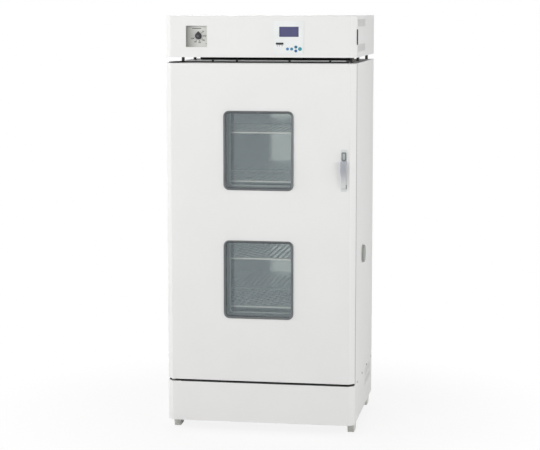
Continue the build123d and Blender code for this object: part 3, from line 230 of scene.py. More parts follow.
# sand cast iron of the motor housing, painted grey: rough and dull
castIron = surface("castIron", {
    "dark": "#3A3C3D", "light": "#4C4E4F", "rough": (0.5, 0.7), "grain": 1.4, "relief": 0.1,
})
# rubber keys in four blues, moulded with a silky face
keyShades = {
    "key_left": ("keyBlue", "#3079AE", "#3A86BA"),
    "key_right": ("keyCyan", "#217A9C", "#2C87A8"),
    "key_up": ("keyTeal", "#125A78", "#1C6785"),
    "key_down": ("keyNavy", "#1E5491", "#28609D"),
    "key_enter": ("keyGreen", "#1F8594", "#2A92A0"),
}
keyRubber = {
    key: surface(name, {"dark": dark, "light": light, "rough": (0.3, 0.4), "grain": 0.6, "relief": 0.01})
    for key, (name, dark, light) in keyShades.items()
}


def graded(name, look):
    # finish whose tone runs from the colour first to the colour last along one axis, over a fine grain
    material, tree = newMaterial(name)
    place = addNode(tree, "TexCoord").outputs["Object"]
    along = addNode(tree, "SeparateXYZ", links={0: place}).outputs[look["axis"]]
    share = addNode(tree, "MapRange", {"From Min": look["from"] * mm, "From Max": look["to"] * mm},
                    {"Value": along}, interpolation_type="SMOOTHSTEP")
    scale = 1 / (look["grain"] * mm)
    grain = addNode(tree, "TexNoise", {"Scale": scale, "Detail": 2.0}, {"Vector": place}).outputs["Fac"]
    colour = addNode(tree, "Mix", {6: linear(look["first"]), 7: linear(look["last"])},
                     {"Factor": share.outputs[0]}, data_type="RGBA")
    return coat(material, look, colour.outputs[2], grain, grain)


# die cast grip with a metallic coat; its fade from silver at the foot to blue-grey at the top is painted
# light and shade of the bent grip
shadedSilver = graded("shadedSilver", {
    "axis": "Z", "from": 994, "to": 1062, "first": "#D3D5D6", "last": "#A3A5AD", "rough": (0.3, 0.4),
    "grain": 0.5, "relief": 0.01, "strength": 0.3, "metal": 0.3,
})
# moulded ABS dish of the dial, darker towards the left as painted shade of the recess's left wall
shadedDishAbs = graded("shadedDishAbs", {
    "axis": "X", "from": -296, "to": -232, "first": "#9B9B96", "last": "#D2D2CE", "rough": (0.45, 0.55),
    "grain": 0.7, "relief": 0.03, "strength": 0.3, "metal": 0.0,
})
# straight is the share that a face mirrors seen squarely, twice that of clean glass to stand for the haze on
# it, and slant is the power with which it grows to all of the light
glass = {"body": "#FDFDFC", "mirror": "#DFEDF4", "straight": 0.084, "slant": 5.0, "rough": (0.02, 0.04),
         "wave": 180}


def floatGlass():
    # float glass, flat from its bath of tin: each face mirrors some of the room, more at a slant, and the
    # body is nearly clear
    material, tree = newMaterial("floatGlass")
    place = addNode(tree, "TexCoord").outputs["Object"]
    facing = addNode(tree, "LayerWeight", {"Blend": 0.5}).outputs["Facing"]
    slant = addNode(tree, "Math", {1: glass["slant"]}, {0: facing}, operation="POWER").outputs[0]
    share = addNode(tree, "MapRange", {"To Min": glass["straight"], "To Max": 1.0}, {"Value": slant})
    wave = addNode(tree, "TexNoise", {"Scale": 1 / (glass["wave"] * mm)}, {"Vector": place})
    rough = addNode(tree, "MapRange", {"To Min": glass["rough"][0], "To Max": glass["rough"][1]},
                    {"Value": wave.outputs["Fac"]})
    through = addNode(tree, "BsdfTransparent", {"Color": linear(glass["body"])})
    mirror = addNode(tree, "BsdfPrincipled", {"Base Color": linear(glass["mirror"]), "Metallic": 1.0},
                     {"Roughness": rough.outputs[0]})
    mixed = addNode(tree, "MixShader", links={
        0: share.outputs[0], 1: through.outputs[0], 2: mirror.outputs[0],
    })
    addNode(tree, "OutputMaterial", links={"Surface": mixed.outputs[0]})
    return material


heatGlass = floatGlass()
# at the scale waveScale the wave texture repeats about once per unit, which is once per row
display = {"dark": "#42436A", "light": "#55567F", "row": 4.2, "waveScale": 0.3183, "cloud": 30, "rough": 0.14,
           "glow": 0.12}


def liquidCrystal():
    # liquid crystal display behind a clear window: slate violet with faint rows 4.2 mm apart, lit a little
    material, tree = newMaterial("liquidCrystal")
    place = addNode(tree, "TexCoord").outputs["Object"]
    spread = addNode(tree, "Mapping", {"Scale": (0.0, 0.0, 1 / (display["row"] * mm))}, {"Vector": place})
    rows = addNode(tree, "TexWave", {"Scale": display["waveScale"], "Detail": 0.0},
                   {"Vector": spread.outputs[0]}, bands_direction="Z")
    cloud = addNode(tree, "TexNoise", {"Scale": 1 / (display["cloud"] * mm)}, {"Vector": place})
    tone = addNode(tree, "Math", operation="MULTIPLY", links={
        0: rows.outputs["Fac"], 1: cloud.outputs["Fac"],
    })
    colour = addNode(tree, "Mix", {6: linear(display["dark"]), 7: linear(display["light"])},
                     {"Factor": tone.outputs[0]}, data_type="RGBA")
    shader = addNode(tree, "BsdfPrincipled",
                     {"Roughness": display["rough"], "Emission Strength": display["glow"]},
                     {"Base Color": colour.outputs[2], "Emission Color": colour.outputs[2]})
    addNode(tree, "OutputMaterial", links={"Surface": shader.outputs[0]})
    return material


litDisplay = liquidCrystal()

# The nodes that wear each finish
wear = {
    powderCoat: [
        "side_panel_left", "side_panel_right", "top_panel", "rear_panel", "front_frame", "plinth_cover",
        "door_outer_pan", "head_front_cover", "head_top_cover", "head_rear_panel",
    ],
    galvanised: ["base_tray", "base_deck", "head_base"],
    blackEnamelAndShade: ["neck_box", "hinge_brackets"],
    brushedStainless: ["chamber_liner", "shelf_standards", "fan_wheel", "heating_element", "door_inner_pan"],
    shadedTunnelStainless: ["window_tunnels"],
    brightStainless: ["duct_plate"],
    crossBrushed: [
        "floor_plate", "shelf_rails", "shelf_1", "shelf_2", "shelf_3", "shelf_4",
        "strike", "exhaust_stub", "port_sleeve",
    ],
    zincPlate: ["hinge_pins", "fasteners", "latch_tongue"],
    blackenedSteel: ["head_posts"],
    sinteredBronze: ["door_bushes"],
    glassWool: ["insulation", "door_insulation"],
    greySilicone: ["door_gasket", "port_plug"],
    mouldedRubber: ["window_frames"],
    heatGlass: ["window_panes"],
    litDisplay: ["screen_window"],
    mouldedPolypropylene: ["feet"],
    shadedDishAbs: ["dial_plate"],
    silverPaint: ["handle_base"],
    shadedSilver: ["handle_grip"],
    greyAbs: ["release_button"],
    blackNylon: ["dial_knob", "breaker_body", "breaker_lever", "inlet_gland"],
    polyesterFilm: ["panel_bezel"],
    epoxyBoard: ["control_board"],
    castIron: ["fan_motor"],
}
for key, rubber in keyRubber.items():
    wear[rubber] = [key]


def dress(obj, material):
    obj.data.materials.clear()
    obj.data.materials.append(material)


for material, names in wear.items():
    for name in names:
        dress(nodes[name], material)
print("finishes on", sum(len(names) for names in wear.values()), "nodes")

# Modelling helpers. A piece is shaped round the origin, lying flat with its front up, and then stood in its
# place.
facingFront = (math.pi / 2, 0, 0)
facingRight = (math.pi / 2, 0, math.pi / 2)
slack = 0.01 * mm  # how far a point may lie from where it is looked for
nudge = 1e-4  # added to a count of cells, so that a whole number isn't rounded down


def add(kind, **settings):
    bpy.ops.object.select_all(action="DESELECT")
    getattr(bpy.ops.mesh, "primitive_" + kind + "_add")(**settings)
    return bpy.context.object


def resize(obj, size):
    obj.scale = size
    bpy.ops.object.transform_apply(location=False, rotation=False, scale=True)


def edit(on):
    bpy.ops.object.mode_set(mode="EDIT" if on else "OBJECT")


def pick(obj, mode, test):
    # selects the faces or edges whose middle passes the test
    bpy.ops.mesh.select_mode(type=mode)
    bpy.ops.mesh.select_all(action="DESELECT")
    shape = bmesh.from_edit_mesh(obj.data)
    for part in shape.edges if mode == "EDGE" else shape.faces:
        middle = sum((corner.co for corner in part.verts), Vector()) / len(part.verts)
        part.select_set(test(middle, part))
    bmesh.update_edit_mesh(obj.data)


def modify(obj, kind, **settings):
    modifier = obj.modifiers.new(kind.lower(), kind)
    for name, value in settings.items():
        setattr(modifier, name, value)
    bpy.ops.object.modifier_apply(modifier=modifier.name)


def stand(obj, place, turn=(0, 0, 0)):
    # puts a piece in its place and leaves that in its mesh
    bpy.ops.object.select_all(action="DESELECT")
    obj.select_set(True)
    bpy.context.view_layer.objects.active = obj
    obj.rotation_euler = turn
    obj.location = place
    bpy.ops.object.transform_apply(location=True, rotation=True, scale=True)
    return obj


def settle(obj, name, material, body, smooth=30):
    # names a piece that stands in its place, and gives it its finish and the body that it rides on; edges
    # under smooth degrees are shaded soft
    bpy.ops.object.select_all(action="DESELECT")
    obj.select_set(True)
    bpy.context.view_layer.objects.active = obj
    bpy.ops.object.shade_smooth_by_angle(angle=math.radians(smooth))
    obj.name = name
    dress(obj, material)
    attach(obj, body)
    return obj


def copyOf(obj, shift, turn=(0, 0, 0)):
    twin = obj.copy()
    twin.data = obj.data.copy()
    bpy.context.scene.collection.objects.link(twin)
    return stand(twin, shift, turn)


def join(parts):
    bpy.ops.object.select_all(action="DESELECT")
    for part in parts:
        part.select_set(True)
    bpy.context.view_layer.objects.active = parts[0]
    bpy.ops.object.join()
    return bpy.context.object


def repeat(obj, shifts):
    # one piece made of an object and its shifted copies
    return join([obj] + [copyOf(obj, shift) for shift in shifts])


def span(node):
    low, high = (Vector(corner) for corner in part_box(node))
    return low, high, (low + high) / 2


def roundedFace(size, corner, steps=6):
    obj = add("plane", size=1)
    resize(obj, (size[0], size[1], 1))
    edit(True)
    bpy.ops.mesh.select_all(action="SELECT")
    bpy.ops.mesh.bevel(offset=corner, segments=steps, affect="VERTICES")
    edit(False)
    return obj


def build(obj, steps, back, hollow=False):
    # raises a face through steps of (inset, height), with its rear face at the height back, and hollow makes
    # it a ring. The first face stays behind when the steps begin, so it is found at the origin and becomes
    # the rear.
    outline = len(obj.data.vertices)
    edit(True)
    bpy.ops.mesh.select_mode(type="FACE")
    bpy.ops.mesh.select_all(action="SELECT")
    height = 0.0
    for inset, level in steps:
        if inset:
            bpy.ops.mesh.inset(thickness=inset)
            bpy.ops.transform.translate(value=(0, 0, level - height))
        else:
            bpy.ops.mesh.extrude_region_move(TRANSFORM_OT_translate={"value": (0, 0, level - height)})
        height = level
    if hollow:
        bpy.ops.mesh.delete(type="FACE")
    pick(obj, "FACE", lambda middle, face: len(face.verts) == outline and middle.length < slack)
    bpy.ops.transform.translate(value=(0, 0, back))
    if hollow:
        bpy.ops.mesh.delete(type="FACE")
        pick(obj, "EDGE", lambda middle, edge: edge.is_boundary)
        bpy.ops.mesh.bridge_edge_loops()
    bpy.ops.mesh.select_all(action="SELECT")
    bpy.ops.mesh.normals_make_consistent(inside=False)
    edit(False)
    return obj


def disc(radius, steps, back, corners=32, hollow=False):
    return build(add("circle", vertices=corners, radius=radius, fill_type="NGON"), steps, back, hollow)


def slab(size, bevel):
    obj = add("cube", size=1)
    resize(obj, size)
    edit(True)
    bpy.ops.mesh.select_all(action="SELECT")
    bpy.ops.mesh.bevel(offset=bevel, segments=2, affect="EDGES")
    edit(False)
    return obj


def slabBetween(low, high, bevel):
    low, high = Vector(low), Vector(high)
    return stand(slab(high - low, bevel), (low + high) / 2)


def brick(obj, columns, rows, cell, along):
    # joins every second pair of cells of a grid, so that the holes stand like bricks in a wall
    width, depth = columns * cell[0], rows * cell[1]
    half = (0.5, 0.0) if along == 0 else (0.0, 0.5)

    def between(middle, edge):
        # an edge across the direction along parts two cells in line, and is counted with the second of them
        if edge.is_boundary:
            return False
        start, end = (corner.co[1 - along] for corner in edge.verts)
        column = math.floor((middle.x + width / 2) / cell[0] + half[0] + nudge)
        row = math.floor((middle.y + depth / 2) / cell[1] + half[1] + nudge)
        return abs(start - end) > slack and (column + row) % 2 == 0

    pick(obj, "EDGE", between)
    bpy.ops.mesh.dissolve_edges(use_verts=False)


def punchedGrid(columns, rows, cell, web, along):
    # flat grid with one slot in each pair of cells
    obj = add("grid", x_subdivisions=columns, y_subdivisions=rows, size=1)
    resize(obj, (columns * cell[0], rows * cell[1], 1))
    edit(True)
    brick(obj, columns, rows, cell, along)
    bpy.ops.mesh.select_mode(type="FACE")
    bpy.ops.mesh.select_all(action="SELECT")
    bpy.ops.mesh.inset(thickness=web, use_individual=True)
    bpy.ops.mesh.delete(type="FACE")
    return obj


def rim(obj, half, sides):
    # selects the outer edges of a punched grid on the sides named by their axis and sign
    pick(obj, "EDGE", lambda at, edge: edge.is_boundary and any(
        at[axis] * sign > half[axis] - slack for axis, sign in sides))


# Punched shelves: sheets with staggered slots, their front and rear edges turned down. Faces that look up or
# down by more than the value flat get a darker copy of the finish as painted shade, and the edges keep the
# lighter finish, so that they stand out as if lit.
shelf = {"cell": (23 * mm, 28.5 * mm), "columns": 24, "rows": 14, "web": 5.5 * mm, "lip": 6 * mm,
         "lipHalf": 270 * mm, "sheet": 1.5 * mm, "flat": 0.7}


def punchedShelf():
    low, high, middle = span("shelf_1")
    inner = (shelf["columns"] * shelf["cell"][0], shelf["rows"] * shelf["cell"][1])
    outer = (high.x - low.x, high.y - low.y)
    obj = punchedGrid(shelf["columns"], shelf["rows"], shelf["cell"], shelf["web"], 1)
    rim(obj, (inner[0] / 2, inner[1] / 2), [(0, 1), (0, -1), (1, 1), (1, -1)])
    bpy.ops.mesh.extrude_edges_move()
    bpy.ops.transform.resize(value=(outer[0] / inner[0], outer[1] / inner[1], 1), center_override=(0, 0, 0))
    pick(obj, "EDGE", lambda at, edge: edge.is_boundary and abs(at.y) > outer[1] / 2 - slack
         and abs(at.x) < shelf["lipHalf"])
    bpy.ops.mesh.extrude_edges_move(TRANSFORM_OT_translate={"value": (0, 0, -shelf["lip"])})
    edit(False)
    modify(obj, "SOLIDIFY", thickness=shelf["sheet"], offset=-1)
    return stand(obj, (middle.x, middle.y, high.z))


firstShelf = punchedShelf()
for number in (1, 2, 3, 4):
    rise = span(f"shelf_{number}")[1].z - span("shelf_1")[1].z
    sheet = copyOf(firstShelf, (0, 0, rise)) if number > 1 else firstShelf
    settle(sheet, f"punchedShelf{number}", crossBrushed, f"shelf_{number}")
    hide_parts(f"shelf_{number}")
    # second finish: the same stainless painted darker as shade, for the flats
    sheet.data.materials.append(shadedShelfStainless)
    for face in sheet.data.polygons:
        if abs(face.normal.z) > shelf["flat"]:
            face.material_index = 1
print("punched shelves")

# Duct plate at the back of the chamber, plain and bright on the left and finely punched on the right, with a
# mouth left open below and its side edges folded back
grille = {"cell": (8 * mm, 9 * mm), "columns": 20, "rows": 93, "web": 2.1 * mm, "sheet": 1.2 * mm,
          "middle": (150 * mm, 850 * mm), "mouth": 45 * mm, "foldGap": 1 * mm}


def ductGrille():
    low, high = span("duct_plate")[:2]
    half = (grille["columns"] * grille["cell"][0] / 2, grille["rows"] * grille["cell"][1] / 2)
    at = grille["middle"]
    obj = punchedGrid(grille["columns"], grille["rows"], grille["cell"], grille["web"], 0)
    margins = ((0, -1, at[0] - half[0] - low.x), (0, 1, high.x - at[0] - half[0]),
               (1, 1, high.z - at[1] - half[1]), (1, -1, at[1] - half[1] - low.z - grille["mouth"]))
    for axis, sign, margin in margins:
        rim(obj, half, [(axis, sign)])
        shift = (sign * margin, 0, 0) if axis == 0 else (0, sign * margin, 0)
        bpy.ops.mesh.extrude_edges_move(TRANSFORM_OT_translate={"value": shift})
    sides = (low.x - at[0] + slack, high.x - at[0] - slack)
    pick(obj, "EDGE", lambda place, edge: edge.is_boundary and not sides[0] < place.x < sides[1])
    fold = low.y - high.y + grille["foldGap"]
    bpy.ops.mesh.extrude_edges_move(TRANSFORM_OT_translate={"value": (0, 0, fold)})
    edit(False)
    modify(obj, "SOLIDIFY", thickness=grille["sheet"], offset=-1)
    stand(obj, (at[0], low.y, at[1]), facingFront)
    settle(obj, "ductGrille", brightStainless, "cabinet")
    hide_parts("duct_plate")


ductGrille()
print("duct grille")

# Bulb seal round the door's plug
seal = {"width": 14 * mm, "radius": 6.8 * mm, "corner": 16 * mm, "rounds": 3}


def bulbSeal():
    low, high, middle = span("door_gasket")
    obj = roundedFace((high.x - low.x - seal["width"], high.z - low.z - seal["width"]), seal["corner"])
    edit(True)
    bpy.ops.mesh.select_all(action="SELECT")
    bpy.ops.mesh.delete(type="ONLY_FACE")
    edit(False)
    stand(obj, middle, facingFront)
    bpy.ops.object.convert(target="CURVE")
    obj = bpy.context.object
    obj.data.bevel_depth = seal["radius"]
    obj.data.bevel_resolution = seal["rounds"]
    bpy.ops.object.convert(target="MESH")
    obj = bpy.context.object
    settle(obj, "bulbSeal", greySilicone, "door", smooth=60)
    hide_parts("door_gasket")


bulbSeal()
print("bulb seal")

# Rubber frames round the outer panes: a rounded outer edge, a crest and a broad slope down to the glass,
# which ends in a groove painted black as shade. A rear ring holds the pane in the door. Small mould marks
# stand above and below each pane.
window = {
    "size": (277.4 * mm, 310.4 * mm), "corner": 22 * mm, "heights": (618 * mm, 1127.5 * mm),
    "bead": ((0, 2.4 * mm), (1.2 * mm, 4 * mm), (1.4 * mm, 4.4 * mm), (6.2 * mm, 0.4 * mm),
             (1 * mm, -1.6 * mm)),
    "beadBack": -0.1 * mm,
    "rear": ((0, 0), (2.4 * mm, 0), (0, -7.4 * mm), (1.6 * mm, -7.4 * mm), (0, -9.9 * mm)),
    "rearInset": 3.6 * mm, "rearDepth": -9.9 * mm,
    "grooveDepth": 0.5 * mm, "grooveFacing": -0.3,
}
mouldMark = {"size": (6 * mm, 2 * mm, 1.2 * mm), "bevel": 0.4 * mm, "inset": 4 * mm, "lift": 3 * mm}


def windowFrames():
    middle = span("window_frames")[2]
    doorFront = span("door_outer_pan")[0].y
    size = window["size"]
    place = (middle.x, doorFront, window["heights"][0])
    bead = build(roundedFace(size, window["corner"]), window["bead"], window["beadBack"], hollow=True)
    stand(bead, place, facingFront)
    inset = window["rearInset"]
    inner = roundedFace([side - 2 * inset for side in size], window["corner"] - inset)
    rear = stand(build(inner, window["rear"], window["rearDepth"], hollow=True), place, facingFront)
    frameRing = join([bead, rear])
    shift = (0, 0, window["heights"][1] - window["heights"][0])
    frames = join([frameRing, copyOf(frameRing, shift)])
    settle(frames, "windowRubber", mouldedRubber, "door", smooth=40)
    frames.data.materials.append(shadeBlackRubber)
    # faces of the groove next to the glass get black rubber as painted shade
    for face in frames.data.polygons:
        if face.center.y > doorFront + window["grooveDepth"] and face.normal.y < window["grooveFacing"]:
            face.material_index = 1
    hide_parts("window_frames")
    markReach = size[1] - 2 * mouldMark["inset"]
    mark = stand(slab(mouldMark["size"], mouldMark["bevel"]),
                 (middle.x, doorFront - mouldMark["lift"], window["heights"][0] - markReach / 2), facingFront)
    marks = repeat(mark, [(0, 0, markReach), shift, (0, 0, shift[2] + markReach)])
    settle(marks, "mouldMarks", greyAbs, "door")


windowFrames()
print("window rubber")

# Black strip under the door, painted shade in the gap below it, cut off at 45 degrees, cut away from the
# middle, where the plinth's corner is bevelled. A small block continues it at the left.
strip = {"left": -322 * mm, "right": 372 * mm, "front": -322 * mm, "back": -283 * mm, "thick": 4.4 * mm,
         "bevel": 0.6 * mm, "cut": 476.4 * mm, "blockLeft": -372 * mm, "blockRight": -364.5 * mm,
         "blockFront": -300 * mm}
plinthTop = span("plinth_cover")[1].z
stripTop = plinthTop + strip["thick"]
under = slabBetween((strip["left"], strip["front"], plinthTop), (strip["right"], strip["back"], stripTop),
                    strip["bevel"])
edit(True)
bpy.ops.mesh.select_all(action="SELECT")
across = Vector((1, -1, 0)).normalized()
bpy.ops.mesh.bisect(plane_co=across * strip["cut"], plane_no=across, use_fill=True, clear_outer=True)
edit(False)
block = slabBetween((strip["blockLeft"], strip["blockFront"], plinthTop),
                    (strip["blockRight"], strip["back"], stripTop), strip["bevel"])
settle(join([under, block]), "plinthShadeStrip", shadeBlackRubber, "cabinet")

# Dark vinyl strip in the gap beside the door, painted shade of the gap
gapShade = {"left": 366 * mm, "right": 374.4 * mm, "low": 212 * mm, "high": 1465 * mm, "thick": 2.4 * mm,
        "bevel": 0.5 * mm}
bodyFront = span("side_panel_right")[0].y
settle(slabBetween((gapShade["left"], bodyFront - gapShade["thick"], gapShade["low"]),
                   (gapShade["right"], bodyFront, gapShade["high"]), gapShade["bevel"]),
       "gapShadeTrim", gapShadeVinyl, "cabinet")

# Black strip along the front of the cabinet's top, painted shade in the gap above the door, the light rail
# that stands on it and four clips on the rail
topShadeStrip = {"left": -344 * mm, "right": 340 * mm, "low": 1468 * mm, "high": 1473.2 * mm, "deep": 9 * mm,
           "bevel": 0.5 * mm}
settle(slabBetween((topShadeStrip["left"], bodyFront, topShadeStrip["low"]),
                   (topShadeStrip["right"], bodyFront + topShadeStrip["deep"], topShadeStrip["high"]), topShadeStrip["bevel"]),
       "topShadeStrip", shadeBlackRubber, "cabinet")
rail = {"left": -300 * mm, "right": 330 * mm, "high": 1478.4 * mm, "front": 1 * mm, "back": 8 * mm,
        "bevel": 0.8 * mm}
settle(slabBetween((rail["left"], bodyFront + rail["front"], topShadeStrip["high"]),
                   (rail["right"], bodyFront + rail["back"], rail["high"]), rail["bevel"]),
       "topRail", powderCoat, "cabinet")
clip = {"size": (8 * mm, 5 * mm, 6 * mm), "bevel": 0.6 * mm, "places": (-194, -98, 110, 269),
        "back": 1.5 * mm, "rise": 2 * mm}
firstClip = stand(slab(clip["size"], clip["bevel"]),
                  (clip["places"][0] * mm, bodyFront + clip["back"], topShadeStrip["high"] + clip["rise"]))
clips = repeat(firstClip, [((at - clip["places"][0]) * mm, 0, 0) for at in clip["places"][1:]])
settle(clips, "railClips", blackNylon, "cabinet")
print("strips")

# Push button on a round stem, with a rim painted darker as shade round a pad that lies more than padDepth
# behind it
button = {"corner": 5 * mm, "body": 6.8 * mm, "padDepth": 0.8 * mm, "padFacing": -0.99,
          "steps": ((0, 1.2 * mm), (1.2 * mm, 2.2 * mm), (2 * mm, 2.2 * mm), (0.6 * mm, 1.2 * mm)),
          "stem": 2.5 * mm, "stemSteps": ((0, 5 * mm),), "stemBack": -0.5 * mm, "stemCorners": 16}


def pushPad():
    low, high, middle = span("release_button")
    outline = roundedFace((high.x - low.x, high.z - low.z), button["corner"])
    obj = build(outline, button["steps"], -button["body"])
    stand(obj, (middle.x, low.y + button["steps"][1][1], middle.z), facingFront)
    stem = disc(button["stem"], button["stemSteps"], button["stemBack"], button["stemCorners"])
    stand(stem, (middle.x, high.y + button["stemBack"], middle.z), facingFront)
    obj = settle(join([obj, stem]), "pushPad", shadedRimAbs, "button", smooth=50)
    obj.data.materials.append(greyAbs)
    for face in obj.data.polygons:
        if face.normal.y < button["padFacing"] and face.center.y > low.y + button["padDepth"]:
            face.material_index = 1
    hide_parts("release_button")


pushPad()

# Bowed grip: a bar drawn out narrower towards its foot, bent forward, with a stub back to the door at its
# top. From its foot it reaches its full width at the share 1 / widening of its length.
grip = {"width": (23 * mm, 15 * mm), "thick": 6.5 * mm, "top": 1092 * mm, "foot": 984 * mm, "rings": 12,
        "widening": 1.7, "topFront": 25.5 * mm, "footFront": 7.2 * mm, "bow": 5.5 * mm, "bevel": 1.8 * mm,
        "bevelAngle": 40, "rearFacing": 0.5}


def bowedGrip():
    high, middle = span("handle_grip")[1:]
    length = grip["top"] - grip["foot"]
    obj = add("cube", size=1)
    resize(obj, (grip["width"][0], grip["thick"], length))
    edit(True)
    pick(obj, "EDGE", lambda at, edge: abs(edge.verts[0].co.z - edge.verts[1].co.z) > length / 2)
    bpy.ops.mesh.subdivide(number_cuts=grip["rings"] - 1)
    for ring in range(grip["rings"] + 1):
        share = ring / grip["rings"]  # 0 at the foot, 1 at the top
        level = (share - 0.5) * length
        pick(obj, "EDGE", lambda at, edge: all(abs(corner.co.z - level) < slack for corner in edge.verts))
        narrow = grip["width"][1] + (grip["width"][0] - grip["width"][1]) * min(1, share * grip["widening"])
        bpy.ops.transform.resize(value=(narrow / grip["width"][0], 1, 1), center_override=(0, 0, level))
        front = grip["footFront"] + (grip["topFront"] - grip["footFront"]) * share
        front += grip["bow"] * math.sin(math.pi * share)
        bpy.ops.transform.translate(value=(0, -front + grip["thick"] / 2, 0))
    pick(obj, "FACE", lambda at, face: face.normal.y > grip["rearFacing"]
         and at.z > length / 2 - length / grip["rings"])
    stub = grip["topFront"] - grip["thick"]
    bpy.ops.mesh.extrude_region_move(TRANSFORM_OT_translate={"value": (0, stub, 0)})
    edit(False)
    modify(obj, "BEVEL", width=grip["bevel"], segments=3, limit_method="ANGLE",
           angle_limit=math.radians(grip["bevelAngle"]))
    stand(obj, (middle.x, high.y, (grip["top"] + grip["foot"]) / 2))
    settle(obj, "bowedGrip", shadedSilver, "door", smooth=35)
    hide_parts("handle_grip")


bowedGrip()

# Dark slit in the handle base, right of the grip's foot: painted shadow beside the grip's foot
slit = {"left": 9.2 * mm, "right": 11.2 * mm, "low": 984 * mm, "high": 1000 * mm, "lift": 0.3 * mm,
        "bevel": 0.15 * mm}
gripHigh, gripMiddle = span("handle_grip")[1:]
settle(slabBetween((gripMiddle.x + slit["left"], gripHigh.y - slit["lift"], slit["low"]),
                   (gripMiddle.x + slit["right"], gripHigh.y + slit["lift"], slit["high"]), slit["bevel"]),
       "gripShadowSlit", blackNylon, "door")
print("button and grip")

# Printed scale of the over-temperature dial: six ticks with their numbers, and a plain rule above them
dial = {"tick": (16.5 * mm, 21 * mm), "tickWidth": 2.2 * mm, "angles": (43, 0, -40, -79, -118, -157),
        "numberRadius": 25.5 * mm, "numberSize": 7 * mm, "numberWeight": 0.22 * mm, "step": 50,
        "depth": 8 * mm, "rule": (36 * mm, 2.6 * mm), "rulePlace": (-7 * mm, 29 * mm)}
ink = {"thick": 0.3 * mm, "bevel": 0.1 * mm}
knobLow, knobHigh, knobMiddle = span("dial_knob")
knobRadius = (knobHigh.x - knobLow.x) / 2
dialAt = Vector((knobMiddle.x, span("dial_plate")[0].y + dial["depth"], knobLow.z + knobRadius))


def bar(middle, size):
    return stand(slab((size[0], size[1], ink["thick"]), ink["bevel"]), middle, facingFront)


def numeral(text, middle):
    bpy.ops.object.select_all(action="DESELECT")
    bpy.ops.object.text_add()
    obj = bpy.context.object
    obj.data.body = text
    obj.data.size = dial["numberSize"]
    obj.data.align_x = "CENTER"
    obj.data.align_y = "CENTER"
    obj.data.extrude = ink["thick"] / 2
    obj.data.offset = dial["numberWeight"]
    bpy.ops.object.convert(target="MESH")
    return stand(bpy.context.object, middle, facingFront)


tickLength = dial["tick"][1] - dial["tick"][0]
tick = bar((sum(dial["tick"]) / 2, 0, 0), (tickLength, dial["tickWidth"]))
prints = []
for count, degrees in enumerate(dial["angles"], start=1):
    turn = math.radians(degrees)
    away = Vector((math.cos(turn), 0, math.sin(turn)))
    prints.append(copyOf(tick, dialAt, (0, -turn, 0)))
    prints.append(numeral(str(count * dial["step"]), dialAt + away * dial["numberRadius"]))
bpy.data.objects.remove(tick)
ruleX, ruleZ = dial["rulePlace"]
prints.append(bar(dialAt + Vector((ruleX, 0, ruleZ)), dial["rule"]))
settle(join(prints), "dialScale", darkInk, "cabinet")

# Small pin in the dial's dish, and the grey cap in the middle of the knob
pin = {"place": (31 * mm, -30 * mm), "radius": 1.8 * mm, "steps": ((0, 0.6 * mm), (0.5 * mm, 0.9 * mm)),
       "back": -0.4 * mm}
pinX, pinZ = pin["place"]
dialPin = disc(pin["radius"], pin["steps"], pin["back"])
settle(stand(dialPin, dialAt + Vector((pinX, 0, pinZ)), facingFront),
       "dialPin", greyCap, "cabinet")
cap = {"radius": 5 * mm, "steps": ((0, 0.5 * mm), (0.6 * mm, 0.9 * mm), (2 * mm, 0.6 * mm)),
       "back": -0.4 * mm}
knobCap = disc(cap["radius"], cap["steps"], cap["back"])
settle(stand(knobCap, (knobMiddle.x, knobLow.y, dialAt.z), facingFront),
       "knobCap", greyCap, "knob")

# Arrows on the four small keys and a ring on the large one
keyMark = {"arrow": 1.9 * mm, "arrowEdge": 0.3 * mm, "ring": 3 * mm, "ringEdge": 0.6 * mm, "ringCorners": 24,
           "thick": 0.12 * mm}
arrowTurns = {"key_left": math.pi / 2, "key_right": -math.pi / 2, "key_up": 0, "key_down": math.pi}


def printed(corners, radius, edge, hollow):
    steps = ((0, keyMark["thick"]), (edge, keyMark["thick"]))
    return stand(disc(radius, steps, -keyMark["thick"], corners, hollow), (0, 0, 0), facingFront)


def markKey(key, obj):
    front, middle = span(key)[0].y, span(key)[2]
    stand(obj, (middle.x, front, middle.z))
    settle(obj, key.replace("key_", "mark"), paleInk, key)


arrow = printed(3, keyMark["arrow"], keyMark["arrowEdge"], False)
for key, turn in arrowTurns.items():
    markKey(key, copyOf(arrow, (0, 0, 0), (0, -turn, 0)))
bpy.data.objects.remove(arrow)
markKey("key_enter", printed(keyMark["ringCorners"], keyMark["ring"], keyMark["ringEdge"], True))

# Mouth of the memory card slot with three printed marks under it
card = {"middle": (78 * mm, 1543 * mm), "size": (29 * mm, 6.4 * mm), "lift": 1 * mm, "corner": 1.5 * mm,
        "steps": ((0, 1 * mm), (1 * mm, 1.2 * mm), (0.5 * mm, -1.2 * mm)), "back": -2 * mm,
        "marks": (-9.5, -1, 9.5), "mark": (3.4 * mm, 6.5 * mm), "drop": 7.6 * mm}
panelFront = span("panel_bezel")[0].y
cardX, cardZ = card["middle"]
mouth = build(roundedFace(card["size"], card["corner"], steps=3), card["steps"], card["back"])
settle(stand(mouth, (cardX, panelFront, cardZ + card["lift"]), facingFront),
       "cardMouth", blackNylon, "cabinet")
firstMark = bar((cardX + card["marks"][0] * mm, panelFront, cardZ - card["drop"]), card["mark"])
marks = repeat(firstMark, [((offset - card["marks"][0]) * mm, 0, 0) for offset in card["marks"][1:]])
settle(marks, "cardMarks", greyInk, "cabinet")
print("dial, keys and card slot")

